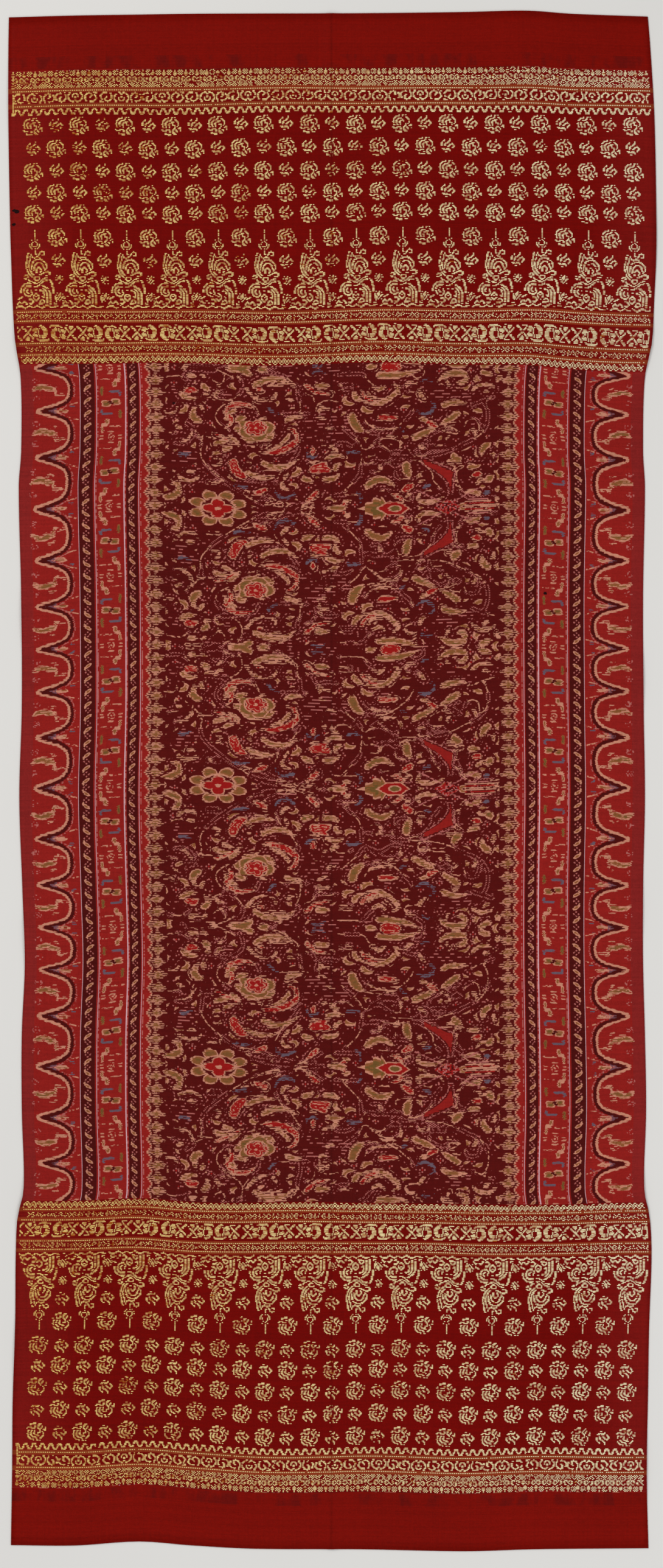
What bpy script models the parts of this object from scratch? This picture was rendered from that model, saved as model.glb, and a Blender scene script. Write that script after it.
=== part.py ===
# A silk shoulder cloth, woven in one piece and laid out face up on a flat surface.
# X runs across the cloth, Y along it and Z up. The flat parts of its underside lie on Z = 0.
# All sizes are in metres.
from collections import namedtuple

import bmesh
import bpy

CLOTH_THICKNESS = 0.0012
CELLS_ACROSS = 30
CELLS_ALONG = 58
# The crease runs down the middle column of points, and the next columns lie close to it.
CREASE_X = -0.001
CREASE_HALF_WIDTH = 0.012
MEAN_WIDTH = 0.85

SILK_COLOUR = (0.20, 0.018, 0.016, 1.0)
SILK_ROUGHNESS = 0.62
SILK_METALLIC = 0.0

SideSection = namedtuple("SideSection", "along left right")
EndSection = namedtuple("EndSection", "across lower upper")
Fold = namedtuple("Fold", "start_x start_y end_x end_y height half_width")

# Where the two selvedges lie, from the lower end to the upper. The brocaded ends are
# stiffer and wider than the softer silk between them.
SIDE_SECTIONS = [
    SideSection(-1.040, -0.4345, 0.4271),
    SideSection(-0.935, -0.4328, 0.4246),
    SideSection(-0.836, -0.4320, 0.4263),
    SideSection(-0.737, -0.4287, 0.4279),
    SideSection(-0.639, -0.4279, 0.4312),
    SideSection(-0.589, -0.4254, 0.4287),
    SideSection(-0.552, -0.4172, 0.4213),
    SideSection(-0.442, -0.4197, 0.4238),
    SideSection(-0.343, -0.4197, 0.4222),
    SideSection(-0.244, -0.4156, 0.4197),
    SideSection(-0.146, -0.4189, 0.4197),
    SideSection(-0.022, -0.4230, 0.4222),
    SideSection(0.101, -0.4197, 0.4205),
    SideSection(0.249, -0.4205, 0.4197),
    SideSection(0.397, -0.4238, 0.4222),
    SideSection(0.446, -0.4205, 0.4197),
    SideSection(0.545, -0.4213, 0.4222),
    SideSection(0.594, -0.4287, 0.4320),
    SideSection(0.644, -0.4320, 0.4345),
    SideSection(0.693, -0.4337, 0.4370),
    SideSection(0.742, -0.4353, 0.4378),
    SideSection(0.890, -0.4378, 0.4353),
    SideSection(0.989, -0.4378, 0.4296),
    SideSection(1.040, -0.4369, 0.4254),
]

# Where the two cut ends lie. across is the share of the width, from the left selvedge.
END_SECTIONS = [
    EndSection(0.00, -1.0317, 1.0309),
    EndSection(0.10, -1.0322, 1.0334),
    EndSection(0.20, -1.0268, 1.0347),
    EndSection(0.28, -1.0320, 1.0358),
    EndSection(0.38, -1.0366, 1.0362),
    EndSection(0.55, -1.0374, 1.0366),
    EndSection(0.71, -1.0400, 1.0382),
    EndSection(0.81, -1.0375, 1.0400),
    EndSection(0.88, -1.0367, 1.0358),
    EndSection(1.00, -1.0359, 1.0320),
]

# The ridges in which the cloth stands off the surface: the crease down the middle, where it
# was kept folded, the low waves at the joins of brocade and soft silk, and the puckers that
# run from the joins into the soft silk.
FOLDS = [
    Fold(CREASE_X, -1.10, CREASE_X, 1.10, 0.0016, CREASE_HALF_WIDTH),
    Fold(-0.500, 0.585, 0.120, 0.570, 0.0030, 0.050),
    Fold(0.040, 0.560, 0.500, 0.590, 0.0032, 0.050),
    Fold(-0.500, -0.570, 0.020, -0.590, 0.0030, 0.050),
    Fold(-0.060, -0.575, 0.500, -0.560, 0.0028, 0.050),
    Fold(-0.500, 0.925, 0.180, 0.900, 0.0022, 0.060),
    Fold(-0.100, 0.760, 0.500, 0.730, 0.0024, 0.065),
    Fold(-0.500, -0.770, 0.100, -0.735, 0.0022, 0.060),
    Fold(0.000, -0.900, 0.500, -0.930, 0.0026, 0.060),
    Fold(-0.330, 0.560, -0.310, 0.330, 0.0024, 0.050),
    Fold(-0.150, 0.570, -0.165, 0.390, 0.0020, 0.045),
    Fold(0.170, 0.570, 0.150, 0.360, 0.0022, 0.045),
    Fold(0.330, 0.560, 0.350, 0.300, 0.0024, 0.050),
    Fold(-0.300, -0.570, -0.330, -0.340, 0.0024, 0.050),
    Fold(0.120, -0.570, 0.140, -0.380, 0.0020, 0.045),
    Fold(0.310, -0.560, 0.340, -0.310, 0.0026, 0.050),
    Fold(-0.500, 0.230, -0.330, 0.215, 0.0024, 0.055),
    Fold(0.340, 0.130, 0.500, 0.150, 0.0024, 0.055),
    Fold(-0.500, -0.200, -0.340, -0.225, 0.0026, 0.055),
    Fold(0.350, -0.180, 0.500, -0.165, 0.0022, 0.055),
]


def section_value(rows, key, column, at):
    """A smooth curve through one column of a table, read at a place between its rows."""
    places = [getattr(row, key) for row in rows]
    values = [getattr(row, column) for row in rows]
    at = min(max(at, places[0]), places[-1])
    last = len(rows) - 2
    i = min(max(sum(place <= at for place in places) - 1, 0), last)
    span = places[i + 1] - places[i]
    before, after = max(i - 1, 0), min(i + 2, last + 1)
    slope_in = (values[i + 1] - values[before]) / (places[i + 1] - places[before])
    slope_out = (values[after] - values[i]) / (places[after] - places[i])
    t = (at - places[i]) / span
    return (
        (1 + 2 * t) * (1 - t) ** 2 * values[i]
        + t * (1 - t) ** 2 * span * slope_in
        + t * t * (3 - 2 * t) * values[i + 1]
        - t * t * (1 - t) * span * slope_out
    )


def fold_height(fold, x, y):
    """How far one fold lifts the cloth here: a rounded ridge that dies out at both ends."""
    run_x, run_y = fold.end_x - fold.start_x, fold.end_y - fold.start_y
    length = (run_x**2 + run_y**2) ** 0.5
    along = ((x - fold.start_x) * run_x + (y - fold.start_y) * run_y) / length
    aside = abs((x - fold.start_x) * run_y - (y - fold.start_y) * run_x) / length
    if along <= 0 or along >= length or aside >= fold.half_width:
        return 0.0
    ridge = 1 - (aside / fold.half_width) ** 2
    to_end = min(along, length - along)
    fade = min(to_end / (2 * fold.half_width), 1.0)
    return fold.height * ridge**2 * fade * fade * (3 - 2 * fade)


def cloth_point(across, along):
    """The underside's point at these shares of the width and the length. 0.5 is the crease."""
    lower = section_value(END_SECTIONS, "across", "lower", across)
    upper = section_value(END_SECTIONS, "across", "upper", across)
    y = lower + (upper - lower) * along
    left = section_value(SIDE_SECTIONS, "along", "left", y)
    right = section_value(SIDE_SECTIONS, "along", "right", y)
    edge = left if across < 0.5 else right
    x = CREASE_X + (edge - CREASE_X) * abs(2 * across - 1)
    return x, y, max(fold_height(fold, x, y) for fold in FOLDS)


def column_shares():
    """The columns' places across the width: even, but for the two beside the crease."""
    shares = [i / CELLS_ACROSS for i in range(CELLS_ACROSS + 1)]
    middle = CELLS_ACROSS // 2
    for side in (-1, 1):
        shares[middle + side] = 0.5 + side * CREASE_HALF_WIDTH / MEAN_WIDTH
    return shares


def make_cloth_mesh():
    """The cloth as one closed sheet: a flat grid, moved to its outline and folds, then thickened."""
    bm = bmesh.new()
    bmesh.ops.create_grid(bm, x_segments=CELLS_ACROSS, y_segments=CELLS_ALONG, size=0.5)
    shares = column_shares()
    for vert in bm.verts:
        column = round((vert.co.x + 0.5) * CELLS_ACROSS)
        vert.co = cloth_point(shares[column], vert.co.y + 0.5)
    underside = list(bm.faces)
    grown = bmesh.ops.extrude_face_region(bm, geom=underside, use_keep_orig=True)
    top = [item for item in grown["geom"] if isinstance(item, bmesh.types.BMVert)]
    bmesh.ops.translate(bm, verts=top, vec=(0, 0, CLOTH_THICKNESS))
    bmesh.ops.triangulate(bm, faces=bm.faces)
    bmesh.ops.recalc_face_normals(bm, faces=bm.faces)
    mesh = bpy.data.meshes.new("shoulder_cloth")
    bm.to_mesh(mesh)
    bm.free()
    return mesh


def make_silk():
    """The red silk of the cloth, seen from a step away."""
    silk = bpy.data.materials.new("woven_silk")
    silk.use_nodes = True
    shader = silk.node_tree.nodes["Principled BSDF"]
    shader.inputs["Base Color"].default_value = SILK_COLOUR
    shader.inputs["Roughness"].default_value = SILK_ROUGHNESS
    shader.inputs["Metallic"].default_value = SILK_METALLIC
    return silk


def main():
    for old in list(bpy.data.objects):
        bpy.data.objects.remove(old)
    cloth = bpy.data.objects.new("shoulder_cloth", make_cloth_mesh())
    bpy.context.scene.collection.objects.link(cloth)
    cloth.data.materials.append(make_silk())
    cloth.data.shade_smooth()


main()
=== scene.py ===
import math
from collections import namedtuple

import bmesh
import bpy
import numpy as np
from mathutils.bvhtree import BVHTree
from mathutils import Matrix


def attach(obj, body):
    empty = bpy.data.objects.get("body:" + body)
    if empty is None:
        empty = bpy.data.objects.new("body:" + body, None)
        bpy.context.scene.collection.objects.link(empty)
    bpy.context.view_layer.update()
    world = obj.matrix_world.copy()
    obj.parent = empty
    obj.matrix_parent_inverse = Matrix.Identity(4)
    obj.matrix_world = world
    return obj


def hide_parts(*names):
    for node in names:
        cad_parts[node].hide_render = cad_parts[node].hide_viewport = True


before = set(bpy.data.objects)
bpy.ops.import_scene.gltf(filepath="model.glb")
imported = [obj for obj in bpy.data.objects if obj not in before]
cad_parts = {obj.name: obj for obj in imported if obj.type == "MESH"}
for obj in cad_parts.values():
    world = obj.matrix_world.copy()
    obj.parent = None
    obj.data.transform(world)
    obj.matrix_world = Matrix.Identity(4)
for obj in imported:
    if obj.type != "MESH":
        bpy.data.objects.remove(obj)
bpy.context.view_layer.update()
print("frame loaded:", sorted(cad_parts))

# Both charts are drawn in steps. Across the cloth they count from the left selvedge, and
# along it "down" counts from the upper cut end.
step = 0.000822
cloth = {
    "thickness": 0.0012,     # metres
    "lengthSteps": 2530,
    "widthSteps": 1025,
    "creaseX": -0.001,
    "endSteps": 578,         # length of each brocaded end
    "columns": 50,           # coarse cells, which the upper face divides again
    "middleRows": 96,
    "endRows": 14,
    "sway": 0.0016,          # how far the woven lines wander up and down, in metres
    "droop": 0.006,          # and how far they sink at the right, at the upper join
    "mapMargin": 0.01,       # the bake map, in shares of its width and height
    "mapLength": 0.98,
    "mapUpper": 0.65,
    "mapUnderFrom": 0.68,
    "mapUnder": 0.31,
    "mapWall": 0.006,
}

SideSection = namedtuple("SideSection", "along left right")
EndSection = namedtuple("EndSection", "across lower upper")
Fold = namedtuple("Fold", "startX startY endX endY height halfWidth")

# the selvedges, from the lower end to the upper, as on the solid
sideSections = [SideSection(*row) for row in (
    (-1.040, -0.4345, 0.4271), (-0.935, -0.4328, 0.4246), (-0.836, -0.4320, 0.4263),
    (-0.737, -0.4287, 0.4279), (-0.639, -0.4279, 0.4312), (-0.589, -0.4254, 0.4287),
    (-0.552, -0.4172, 0.4213), (-0.442, -0.4197, 0.4238), (-0.343, -0.4197, 0.4222),
    (-0.244, -0.4156, 0.4197), (-0.146, -0.4189, 0.4197), (-0.022, -0.4230, 0.4222),
    (0.101, -0.4197, 0.4205), (0.249, -0.4205, 0.4197), (0.397, -0.4238, 0.4222),
    (0.446, -0.4205, 0.4197), (0.545, -0.4213, 0.4222), (0.594, -0.4287, 0.4320),
    (0.644, -0.4320, 0.4345), (0.693, -0.4337, 0.4370), (0.742, -0.4353, 0.4378),
    (0.890, -0.4378, 0.4353), (0.989, -0.4378, 0.4296), (1.040, -0.4369, 0.4254),
)]

endSections = [EndSection(*row) for row in (
    (0.00, -1.0317, 1.0309), (0.10, -1.0322, 1.0334), (0.20, -1.0268, 1.0347),
    (0.28, -1.0320, 1.0358), (0.38, -1.0366, 1.0362), (0.55, -1.0374, 1.0366),
    (0.71, -1.0400, 1.0382), (0.81, -1.0375, 1.0400), (0.88, -1.0367, 1.0358),
    (1.00, -1.0359, 1.0320),
)]

folds = [Fold(*row) for row in (
    (-0.001, -1.10, -0.001, 1.10, 0.0016, 0.012), (-0.500, 0.585, 0.120, 0.570, 0.0030, 0.050),
    (0.040, 0.560, 0.500, 0.590, 0.0032, 0.050), (-0.500, -0.570, 0.020, -0.590, 0.0030, 0.050),
    (-0.060, -0.575, 0.500, -0.560, 0.0028, 0.050), (-0.500, 0.925, 0.180, 0.900, 0.0022, 0.060),
    (-0.100, 0.760, 0.500, 0.730, 0.0024, 0.065), (-0.500, -0.770, 0.100, -0.735, 0.0022, 0.060),
    (0.000, -0.900, 0.500, -0.930, 0.0026, 0.060), (-0.330, 0.560, -0.310, 0.330, 0.0024, 0.050),
    (-0.150, 0.570, -0.165, 0.390, 0.0020, 0.045), (0.170, 0.570, 0.150, 0.360, 0.0022, 0.045),
    (0.330, 0.560, 0.350, 0.300, 0.0024, 0.050), (-0.300, -0.570, -0.330, -0.340, 0.0024, 0.050),
    (0.120, -0.570, 0.140, -0.380, 0.0020, 0.045), (0.310, -0.560, 0.340, -0.310, 0.0026, 0.050),
    (-0.500, 0.230, -0.330, 0.215, 0.0024, 0.055), (0.340, 0.130, 0.500, 0.150, 0.0024, 0.055),
    (-0.500, -0.200, -0.340, -0.225, 0.0026, 0.055), (0.350, -0.180, 0.500, -0.165, 0.0022, 0.055),
)]


def curveThrough(rows, key, name, at):
    # a smooth curve through one column of a table
    places = np.array([getattr(row, key) for row in rows])
    values = np.array([getattr(row, name) for row in rows])
    at = np.clip(at, places[0], places[-1])
    i = np.clip(np.searchsorted(places, at, side="right") - 1, 0, len(rows) - 2)
    before, after = np.maximum(i - 1, 0), np.minimum(i + 2, len(rows) - 1)
    span = places[i + 1] - places[i]
    slopeIn = (values[i + 1] - values[before]) / (places[i + 1] - places[before])
    slopeOut = (values[after] - values[i]) / (places[after] - places[i])
    t = (at - places[i]) / span
    ends = (1 + 2 * t) * (1 - t) ** 2 * values[i] + t * t * (3 - 2 * t) * values[i + 1]
    return ends + t * (1 - t) * span * ((1 - t) * slopeIn - t * slopeOut)


def foldHeight(fold, x, y):
    runX, runY = fold.endX - fold.startX, fold.endY - fold.startY
    length = math.hypot(runX, runY)
    along = ((x - fold.startX) * runX + (y - fold.startY) * runY) / length
    aside = np.abs((x - fold.startX) * runY - (y - fold.startY) * runX) / length
    ridge = np.clip(1 - (aside / fold.halfWidth) ** 2, 0, 1)
    fade = np.clip(np.minimum(along, length - along) / (2 * fold.halfWidth), 0, 1)
    return fold.height * ridge**2 * fade * fade * (3 - 2 * fade)


def laidPlace(across, down):
    # where a point of the chart lies: across is the share of the width, down is in steps
    share = 1 - down / cloth["lengthSteps"]
    lower = curveThrough(endSections, "across", "lower", across)
    upper = curveThrough(endSections, "across", "upper", across)
    inside = np.clip(np.minimum(share, 1 - share) * 12, 0, 1)
    wander = np.sin(across * 11 + share * 9) + 0.6 * np.sin(across * 23 - share * 17 + 2)
    y = lower + (upper - lower) * share + cloth["sway"] * wander * inside
    nearJoin = np.exp(-(((down - cloth["endSteps"]) / 50) ** 2))
    y -= cloth["droop"] * nearJoin * np.clip((across - 0.6) * 4, 0, 1)
    left = curveThrough(sideSections, "along", "left", y)
    right = curveThrough(sideSections, "along", "right", y)
    edge = np.where(across < 0.5, left, right)
    x = cloth["creaseX"] + (edge - cloth["creaseX"]) * np.abs(2 * across - 1)
    z = np.max([foldHeight(fold, x, y) for fold in folds], axis=0)
    return x, y, z


def curvePoints(stem, between=8):
    # points close together along a smooth curve through the given ones
    points = np.array(stem, float)
    places = np.linspace(0, len(points) - 1, between * (len(points) - 1) + 1)
    i = np.clip(places.astype(int), 0, len(points) - 2)
    before, after = points[np.maximum(i - 1, 0)], points[np.minimum(i + 2, len(points) - 1)]
    t = (places - i)[:, None]
    start, end = points[i], points[i + 1]
    tilt = (1 - t) * (end - before) / 2 - t * (after - start) / 2
    return start * (1 + 2 * t) * (1 - t) ** 2 + end * t * t * (3 - 2 * t) + t * (1 - t) * tilt


# The ikat chart. Half a repeat lies between two mirror lines, and row counts steps from the
# line through the medallions. A leaf runs from its fat head to its thin tail.
ikat = {
    "halfRepeat": 230.5,
    "medallionDown": 815,    # down of one mirror line through the medallions
    "leafDiscs": 15,         # discs along a leaf's spine, which make up its shape
    "leafReach": 14,         # how far round a leaf its depth is reckoned
    "plumpRed": 1.2,         # how much wider the red leaves are than charted
    "far": 30.0,             # depth or distance where nothing is near
    "scallops": 3,           # to a half repeat, in the borders
    "scallopPitch": 76.83,
}
Leaf = namedtuple("Leaf", "dye headX headRow tailX tailRow bend width")

# by dye: headX, headRow, tailX, tailRow, bend and width
fieldLeaves = {
    "gold": [
        (262, 22, 232, 14, -3, 16), (262, 26, 247, 37, 6, 12), (259, 50, 301, 56, -10, 8),
        (276, 58, 289, 59, 0, 8), (330, 75, 314, 72, -3, 5), (320, 82, 332, 80, 0, 5),
        (519, 1, 538, 0, 0, 13), (517, 1, 504, 0, 0, 9), (541, 11, 530, 13, 0, 9),
        (430, 42, 446, 33, -4, 9), (434, 50, 443, 62, 0, 7), (466, 50, 484, 44, 0, 13),
        (500, 49, 527, 58, -5, 12), (478, 76, 494, 78, 0, 6), (505, 82, 535, 82, 4, 11),
        (518, 63, 530, 72, 4, 11), (372, 62, 427, 57, -7, 11), (375, 79, 381, 76, 0, 6),
        (398, 78, 460, 85, -12, 13), (442, 122, 408, 101, -5, 10), (392, 103, 386, 112, 3, 5),
        (356, 147, 373, 151, 2, 13), (355, 133, 368, 126, 0, 14), (369, 119, 393, 117, -3, 13),
        (398, 118, 418, 129, -5, 13), (394, 150, 406, 152, 0, 5), (345, 119, 362, 107, 0, 11),
        (319, 106, 347, 110, 2, 11), (334, 97, 352, 104, 0, 10), (353, 163, 335, 140, 5, 11),
        (257, 132, 266, 128, 0, 9), (281, 122, 257, 107, -6, 6), (282, 152, 299, 143, -3, 17),
        (284, 153, 285, 167, 0, 12), (296, 168, 301, 158, 0, 10), (236, 156, 259, 168, -8, 5),
        (264, 186, 291, 181, -4, 12), (300, 201, 311, 193, 0, 14), (303, 187, 313, 188, 0, 7),
        (320, 183, 334, 191, 5, 7), (277, 217, 291, 216, 0, 10), (299, 218, 306, 213, 0, 8),
        (331, 206, 322, 199, 0, 5), (384, 204, 458, 197, 15, 14), (371, 200, 412, 180, -8, 8),
        (420, 191, 409, 181, -3, 7), (407, 205, 436, 203, 2, 6), (439, 182, 452, 178, 0, 7),
        (378, 223, 338, 233, 3, 15), (394, 230, 408, 228, 0, 12), (437, 147, 466, 151, 3, 11),
        (491, 160, 489, 173, 5, 8), (504, 164, 509, 162, 0, 7), (490, 150, 506, 146, 0, 6),
        (504, 132, 520, 128, 0, 6), (546, 150, 567, 125, -5, 21), (498, 104, 506, 99, 2, 6),
        (513, 102, 526, 97, -4, 9), (488, 202, 510, 201, 0, 13), (592, 70, 588, 60, -2, 7),
        (570, 36, 617, 33, 13, 16), (640, 22, 630, 18, 0, 7), (635, 71, 642, 50, -2, 19),
        (654, 12, 698, 19, -6, 10), (656, 22, 650, 12, 0, 8), (655, 43, 669, 46, 0, 6),
        (754, 20, 728, 21, 4, 12), (773, 46, 765, 39, 0, 16), (738, 66, 757, 67, -2, 12),
        (757, 43, 748, 36, 0, 8), (770, 101, 761, 81, 5, 15), (777, 87, 779, 76, 0, 9),
        (721, 77, 714, 90, -4, 17), (703, 76, 712, 77, 0, 6), (648, 115, 685, 132, 0, 15),
        (720, 154, 690, 135, 0, 15), (660, 146, 672, 143, 0, 10), (700, 112, 708, 118, 0, 6),
        (745, 126, 748, 114, 3, 8), (575, 134, 624, 132, -4, 6), (695, 167, 737, 171, 4, 13),
        (549, 187, 564, 175, -3, 13), (619, 190, 557, 177, -13, 12), (621, 186, 611, 202, 6, 8),
        (572, 189, 597, 181, -6, 7), (591, 192, 578, 199, 0, 8), (591, 192, 603, 202, 0, 8),
        (634, 199, 650, 205, 4, 7), (657, 190, 668, 178, -2, 9), (744, 194, 784, 193, 10, 9),
        (763, 192, 772, 189, 0, 8), (731, 221, 686, 208, 8, 15), (733, 214, 717, 209, -5, 12),
        (702, 208, 706, 201, 0, 7), (588, 217, 661, 229, -5, 14), (572, 230, 586, 231, 0, 13),
        (758, 225, 776, 220, 0, 13), (784, 211, 790, 218, 0, 10), (626, 110, 626, 97, 0, 7),
        (656, 100, 664, 92, 4, 7),
    ],
    "red": [
        (404, 33, 382, 24, 0, 10), (489, 27, 469, 10, 0, 9), (534, 7, 526, 3, 0, 8),
        (628, 13, 608, 22, 3, 8), (482, 65, 513, 60, 3, 17), (493, 72, 507, 75, 0, 9),
        (350, 77, 375, 53, -6, 18), (456, 114, 390, 96, -9, 12), (455, 117, 436, 134, 6, 8),
        (320, 122, 369, 98, 2, 7), (337, 160, 337, 133, 10, 10), (340, 165, 390, 162, 10, 9),
        (281, 194, 268, 190, 0, 13), (284, 196, 292, 188, 0, 8), (391, 199, 400, 197, 0, 7),
        (482, 97, 481, 88, 0, 10), (470, 204, 484, 194, 0, 9), (482, 192, 512, 186, 0, 7),
        (642, 37, 626, 27, 0, 12), (752, 20, 736, 21, 3, 6), (754, 53, 742, 51, 0, 11),
        (671, 140, 688, 132, 0, 10), (592, 148, 623, 147, 0, 11), (561, 191, 607, 180, -12, 8),
        (600, 230, 626, 229, 0, 20),
    ],
    "blue": [
        (452, 25, 417, 41, -14, 8), (351, 39, 382, 39, -2, 7), (560, 10, 546, 27, 7, 7),
        (261, 86, 282, 91, -3, 8), (407, 170, 427, 158, -3, 7), (470, 92, 493, 92, -8, 7),
        (538, 90, 563, 88, 3, 8), (480, 224, 503, 220, 4, 6), (674, 38, 660, 33, 0, 7),
        (764, 21, 771, 21, 0, 10), (681, 163, 647, 165, -10, 8), (682, 165, 671, 174, 3, 6),
        (659, 207, 681, 205, 5, 5), (626, 131, 638, 126, -2, 6),
    ],
}

# thin stems, each through its points from one end to the other
fieldStems = [
    [(450, 1), (408, 11), (387, 14), (352, 34), (325, 54), (306, 71), (296, 88), (297, 114),
     (278, 133)],
    [(450, 1), (420, 5), (398, 9)], [(452, 6), (420, 16), (396, 26), (362, 33)],
    [(449, 3), (474, 10), (496, 22)], [(462, 0), (500, 0)], [(456, 4), (484, 6)],
    [(519, 22), (554, 22)], [(533, 28), (556, 52), (560, 66), (562, 87)],
    [(459, 99), (450, 84), (438, 70), (428, 60), (420, 44)], [(428, 157), (473, 157)],
    [(461, 156), (460, 176), (455, 192), (457, 200)],
    [(762, 173), (769, 157), (768, 134), (755, 116), (731, 104), (705, 92), (676, 86), (611, 84)],
    [(731, 134), (737, 143), (750, 143), (755, 133), (755, 121)],
    [(581, 77), (620, 75), (636, 79), (659, 76), (677, 57), (679, 45), (690, 31)],
    [(690, 71), (729, 71)], [(718, 33), (710, 46), (711, 60), (716, 66)],
    [(724, 30), (717, 46), (719, 60), (726, 64)], [(724, 24), (745, 10), (786, 3)],
    [(741, 13), (789, 13)], [(741, 2), (789, 2)], [(745, 7), (785, 7)],
    [(262, 231), (300, 231), (330, 226), (349, 216)], [(270, 226), (320, 226)],
    [(318, 210), (326, 205), (334, 209), (336, 217)],
    [(332, 193), (322, 190), (319, 184), (325, 180), (346, 179)],
    [(359, 219), (364, 208), (363, 194), (352, 183), (340, 178)],
    [(397, 226), (420, 225), (440, 216), (457, 202)], [(521, 175), (505, 177), (492, 173), (486, 163)],
    [(342, 130), (326, 140), (321, 152), (329, 167), (350, 176), (372, 175), (387, 169), (392, 158)],
    [(272, 138), (282, 130), (284, 120), (278, 110), (266, 104), (254, 104)], [(292, 116), (314, 116)],
    [(373, 48), (388, 47), (403, 48)], [(402, 65), (422, 65)], [(309, 44), (316, 44)],
    [(320, 44), (327, 44)], [(309, 39), (316, 39)], [(320, 39), (327, 39)], [(526, 202), (533, 202)],
    [(538, 202), (545, 202)], [(526, 194), (533, 194)], [(538, 194), (545, 194)],
    [(678, 102), (685, 102)], [(690, 102), (697, 102)], [(678, 97), (685, 97)], [(690, 97), (697, 97)],
    [(524, 219), (545, 219), (564, 218), (572, 208), (580, 202)],
    [(651, 204), (638, 203), (632, 198), (639, 191), (657, 190)],
    [(567, 144), (574, 136), (590, 129), (612, 129), (628, 139), (640, 150), (646, 160)],
    [(566, 125), (582, 122), (600, 123), (618, 129)], [(700, 133), (712, 130), (724, 122)],
    [(692, 128), (704, 123), (718, 120)], [(672, 111), (674, 119), (684, 124)],
    [(710, 139), (722, 141)], [(570, 95), (582, 106), (598, 114), (618, 113), (626, 106)],
    [(572, 97), (590, 104), (604, 97)], [(594, 118), (619, 118)], [(612, 93), (624, 93)],
    [(656, 90), (654, 96), (660, 103), (670, 100), (672, 93)],
    [(516, 99), (522, 106), (536, 106), (546, 101)], [(530, 132), (544, 120), (556, 110), (563, 98)],
    [(570, 73), (586, 74), (594, 68), (588, 59), (578, 60)], [(617, 58), (620, 50), (642, 48)],
    [(610, 74), (616, 69), (624, 72), (618, 78)], [(592, 29), (606, 29)],
    [(632, 27), (644, 20), (640, 12), (630, 14)], [(744, 168), (764, 176), (778, 180)],
    [(664, 226), (662, 218), (652, 213), (644, 218)], [(484, 178), (480, 186), (470, 190)],
    [(436, 96), (448, 98), (456, 104)], [(240, 214), (262, 216), (276, 208)], [(242, 120), (256, 122)],
]

# patches of short dashes: centre, reach across and reach along
fieldDashes = [
    (262, 74, 15, 12), (276, 84, 16, 10), (495, 140, 27, 15), (520, 118, 18, 9), (536, 134, 10, 14),
    (700, 187, 28, 8), (732, 178, 12, 10), (505, 226, 22, 5), (596, 156, 12, 5), (440, 222, 14, 6),
    (340, 190, 10, 7), (660, 225, 18, 4), (470, 118, 10, 7), (430, 10, 24, 4), (250, 190, 9, 8),
]

# leaves of the outer borders, whose steps count from either selvedge and from a cusp
borderLeaves = {
    "gold": [
        (38, 43, 59, 40, -2, 13), (38, 43, 18, 36, 2, 12), (57, 28, 54, 38, 2, 7),
        (60, 27, 76, 29, 2, 5), (48, 51, 60, 47, 1, 4), (66, 0, 78, 0, 0, 9), (67, 0, 54, 0, 0, 7),
    ],
    "blue": [
        (82, 9, 89, 7, 0, 6),
    ],
}

# half a scallop's line, from its cusp to its bulge: steps from the selvedge and from the cusp
scallopLine = [
    (28, 0), (35, 2.4), (43, 4.8), (51, 7), (59, 9.6), (67, 12.8), (74, 17.4), (79, 24.4),
    (81, 32), (81.5, 38.5)
]


def leavesOf(chart):
    return [Leaf(dye, *numbers) for dye, leaves in chart.items() for numbers in leaves]


def spine(leaf, sample):
    # a leaf with a bend below 0 sags towards the medallions
    bendX, bendRow = leaf.headRow - leaf.tailRow, leaf.tailX - leaf.headX
    length = max(math.hypot(bendX, bendRow), 1) * (1 if bendRow >= 0 else -1)
    midX = (leaf.headX + leaf.tailX) / 2 + 2 * leaf.bend * bendX / length
    midRow = (leaf.headRow + leaf.tailRow) / 2 + 2 * leaf.bend * bendRow / length
    near, mid, far = (1 - sample) ** 2, 2 * sample * (1 - sample), sample**2
    spineX = near * leaf.headX + mid * midX + far * leaf.tailX
    spineRow = near * leaf.headRow + mid * midRow + far * leaf.tailRow
    return spineX, spineRow


def leafDepth(leaf, x, row, depth):
    # raises depth to how far inside the leaf each point lies
    sample = np.linspace(0.02, 0.98, ikat["leafDiscs"])
    plump = ikat["plumpRed"] if leaf.dye == "red" else 1.0
    radius = plump * leaf.width / 2 * (1 - sample**2) ** 0.8 * (0.7 + 0.4 * sample)
    discX, discRow = spine(leaf, sample)
    reach = leaf.width / 2 + ikat["leafReach"]
    for mirrored in (row, -row, 2 * ikat["halfRepeat"] - row):
        near = np.abs(x - discX.mean()) < reach + np.ptp(discX) / 2
        near &= np.abs(mirrored - discRow.mean()) < reach + np.ptp(discRow) / 2
        if not near.any():
            continue
        away = np.hypot(x[near, None] - discX, mirrored[near, None] - discRow)
        depth[near] = np.maximum(depth[near], (radius - away).max(axis=1))


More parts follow.
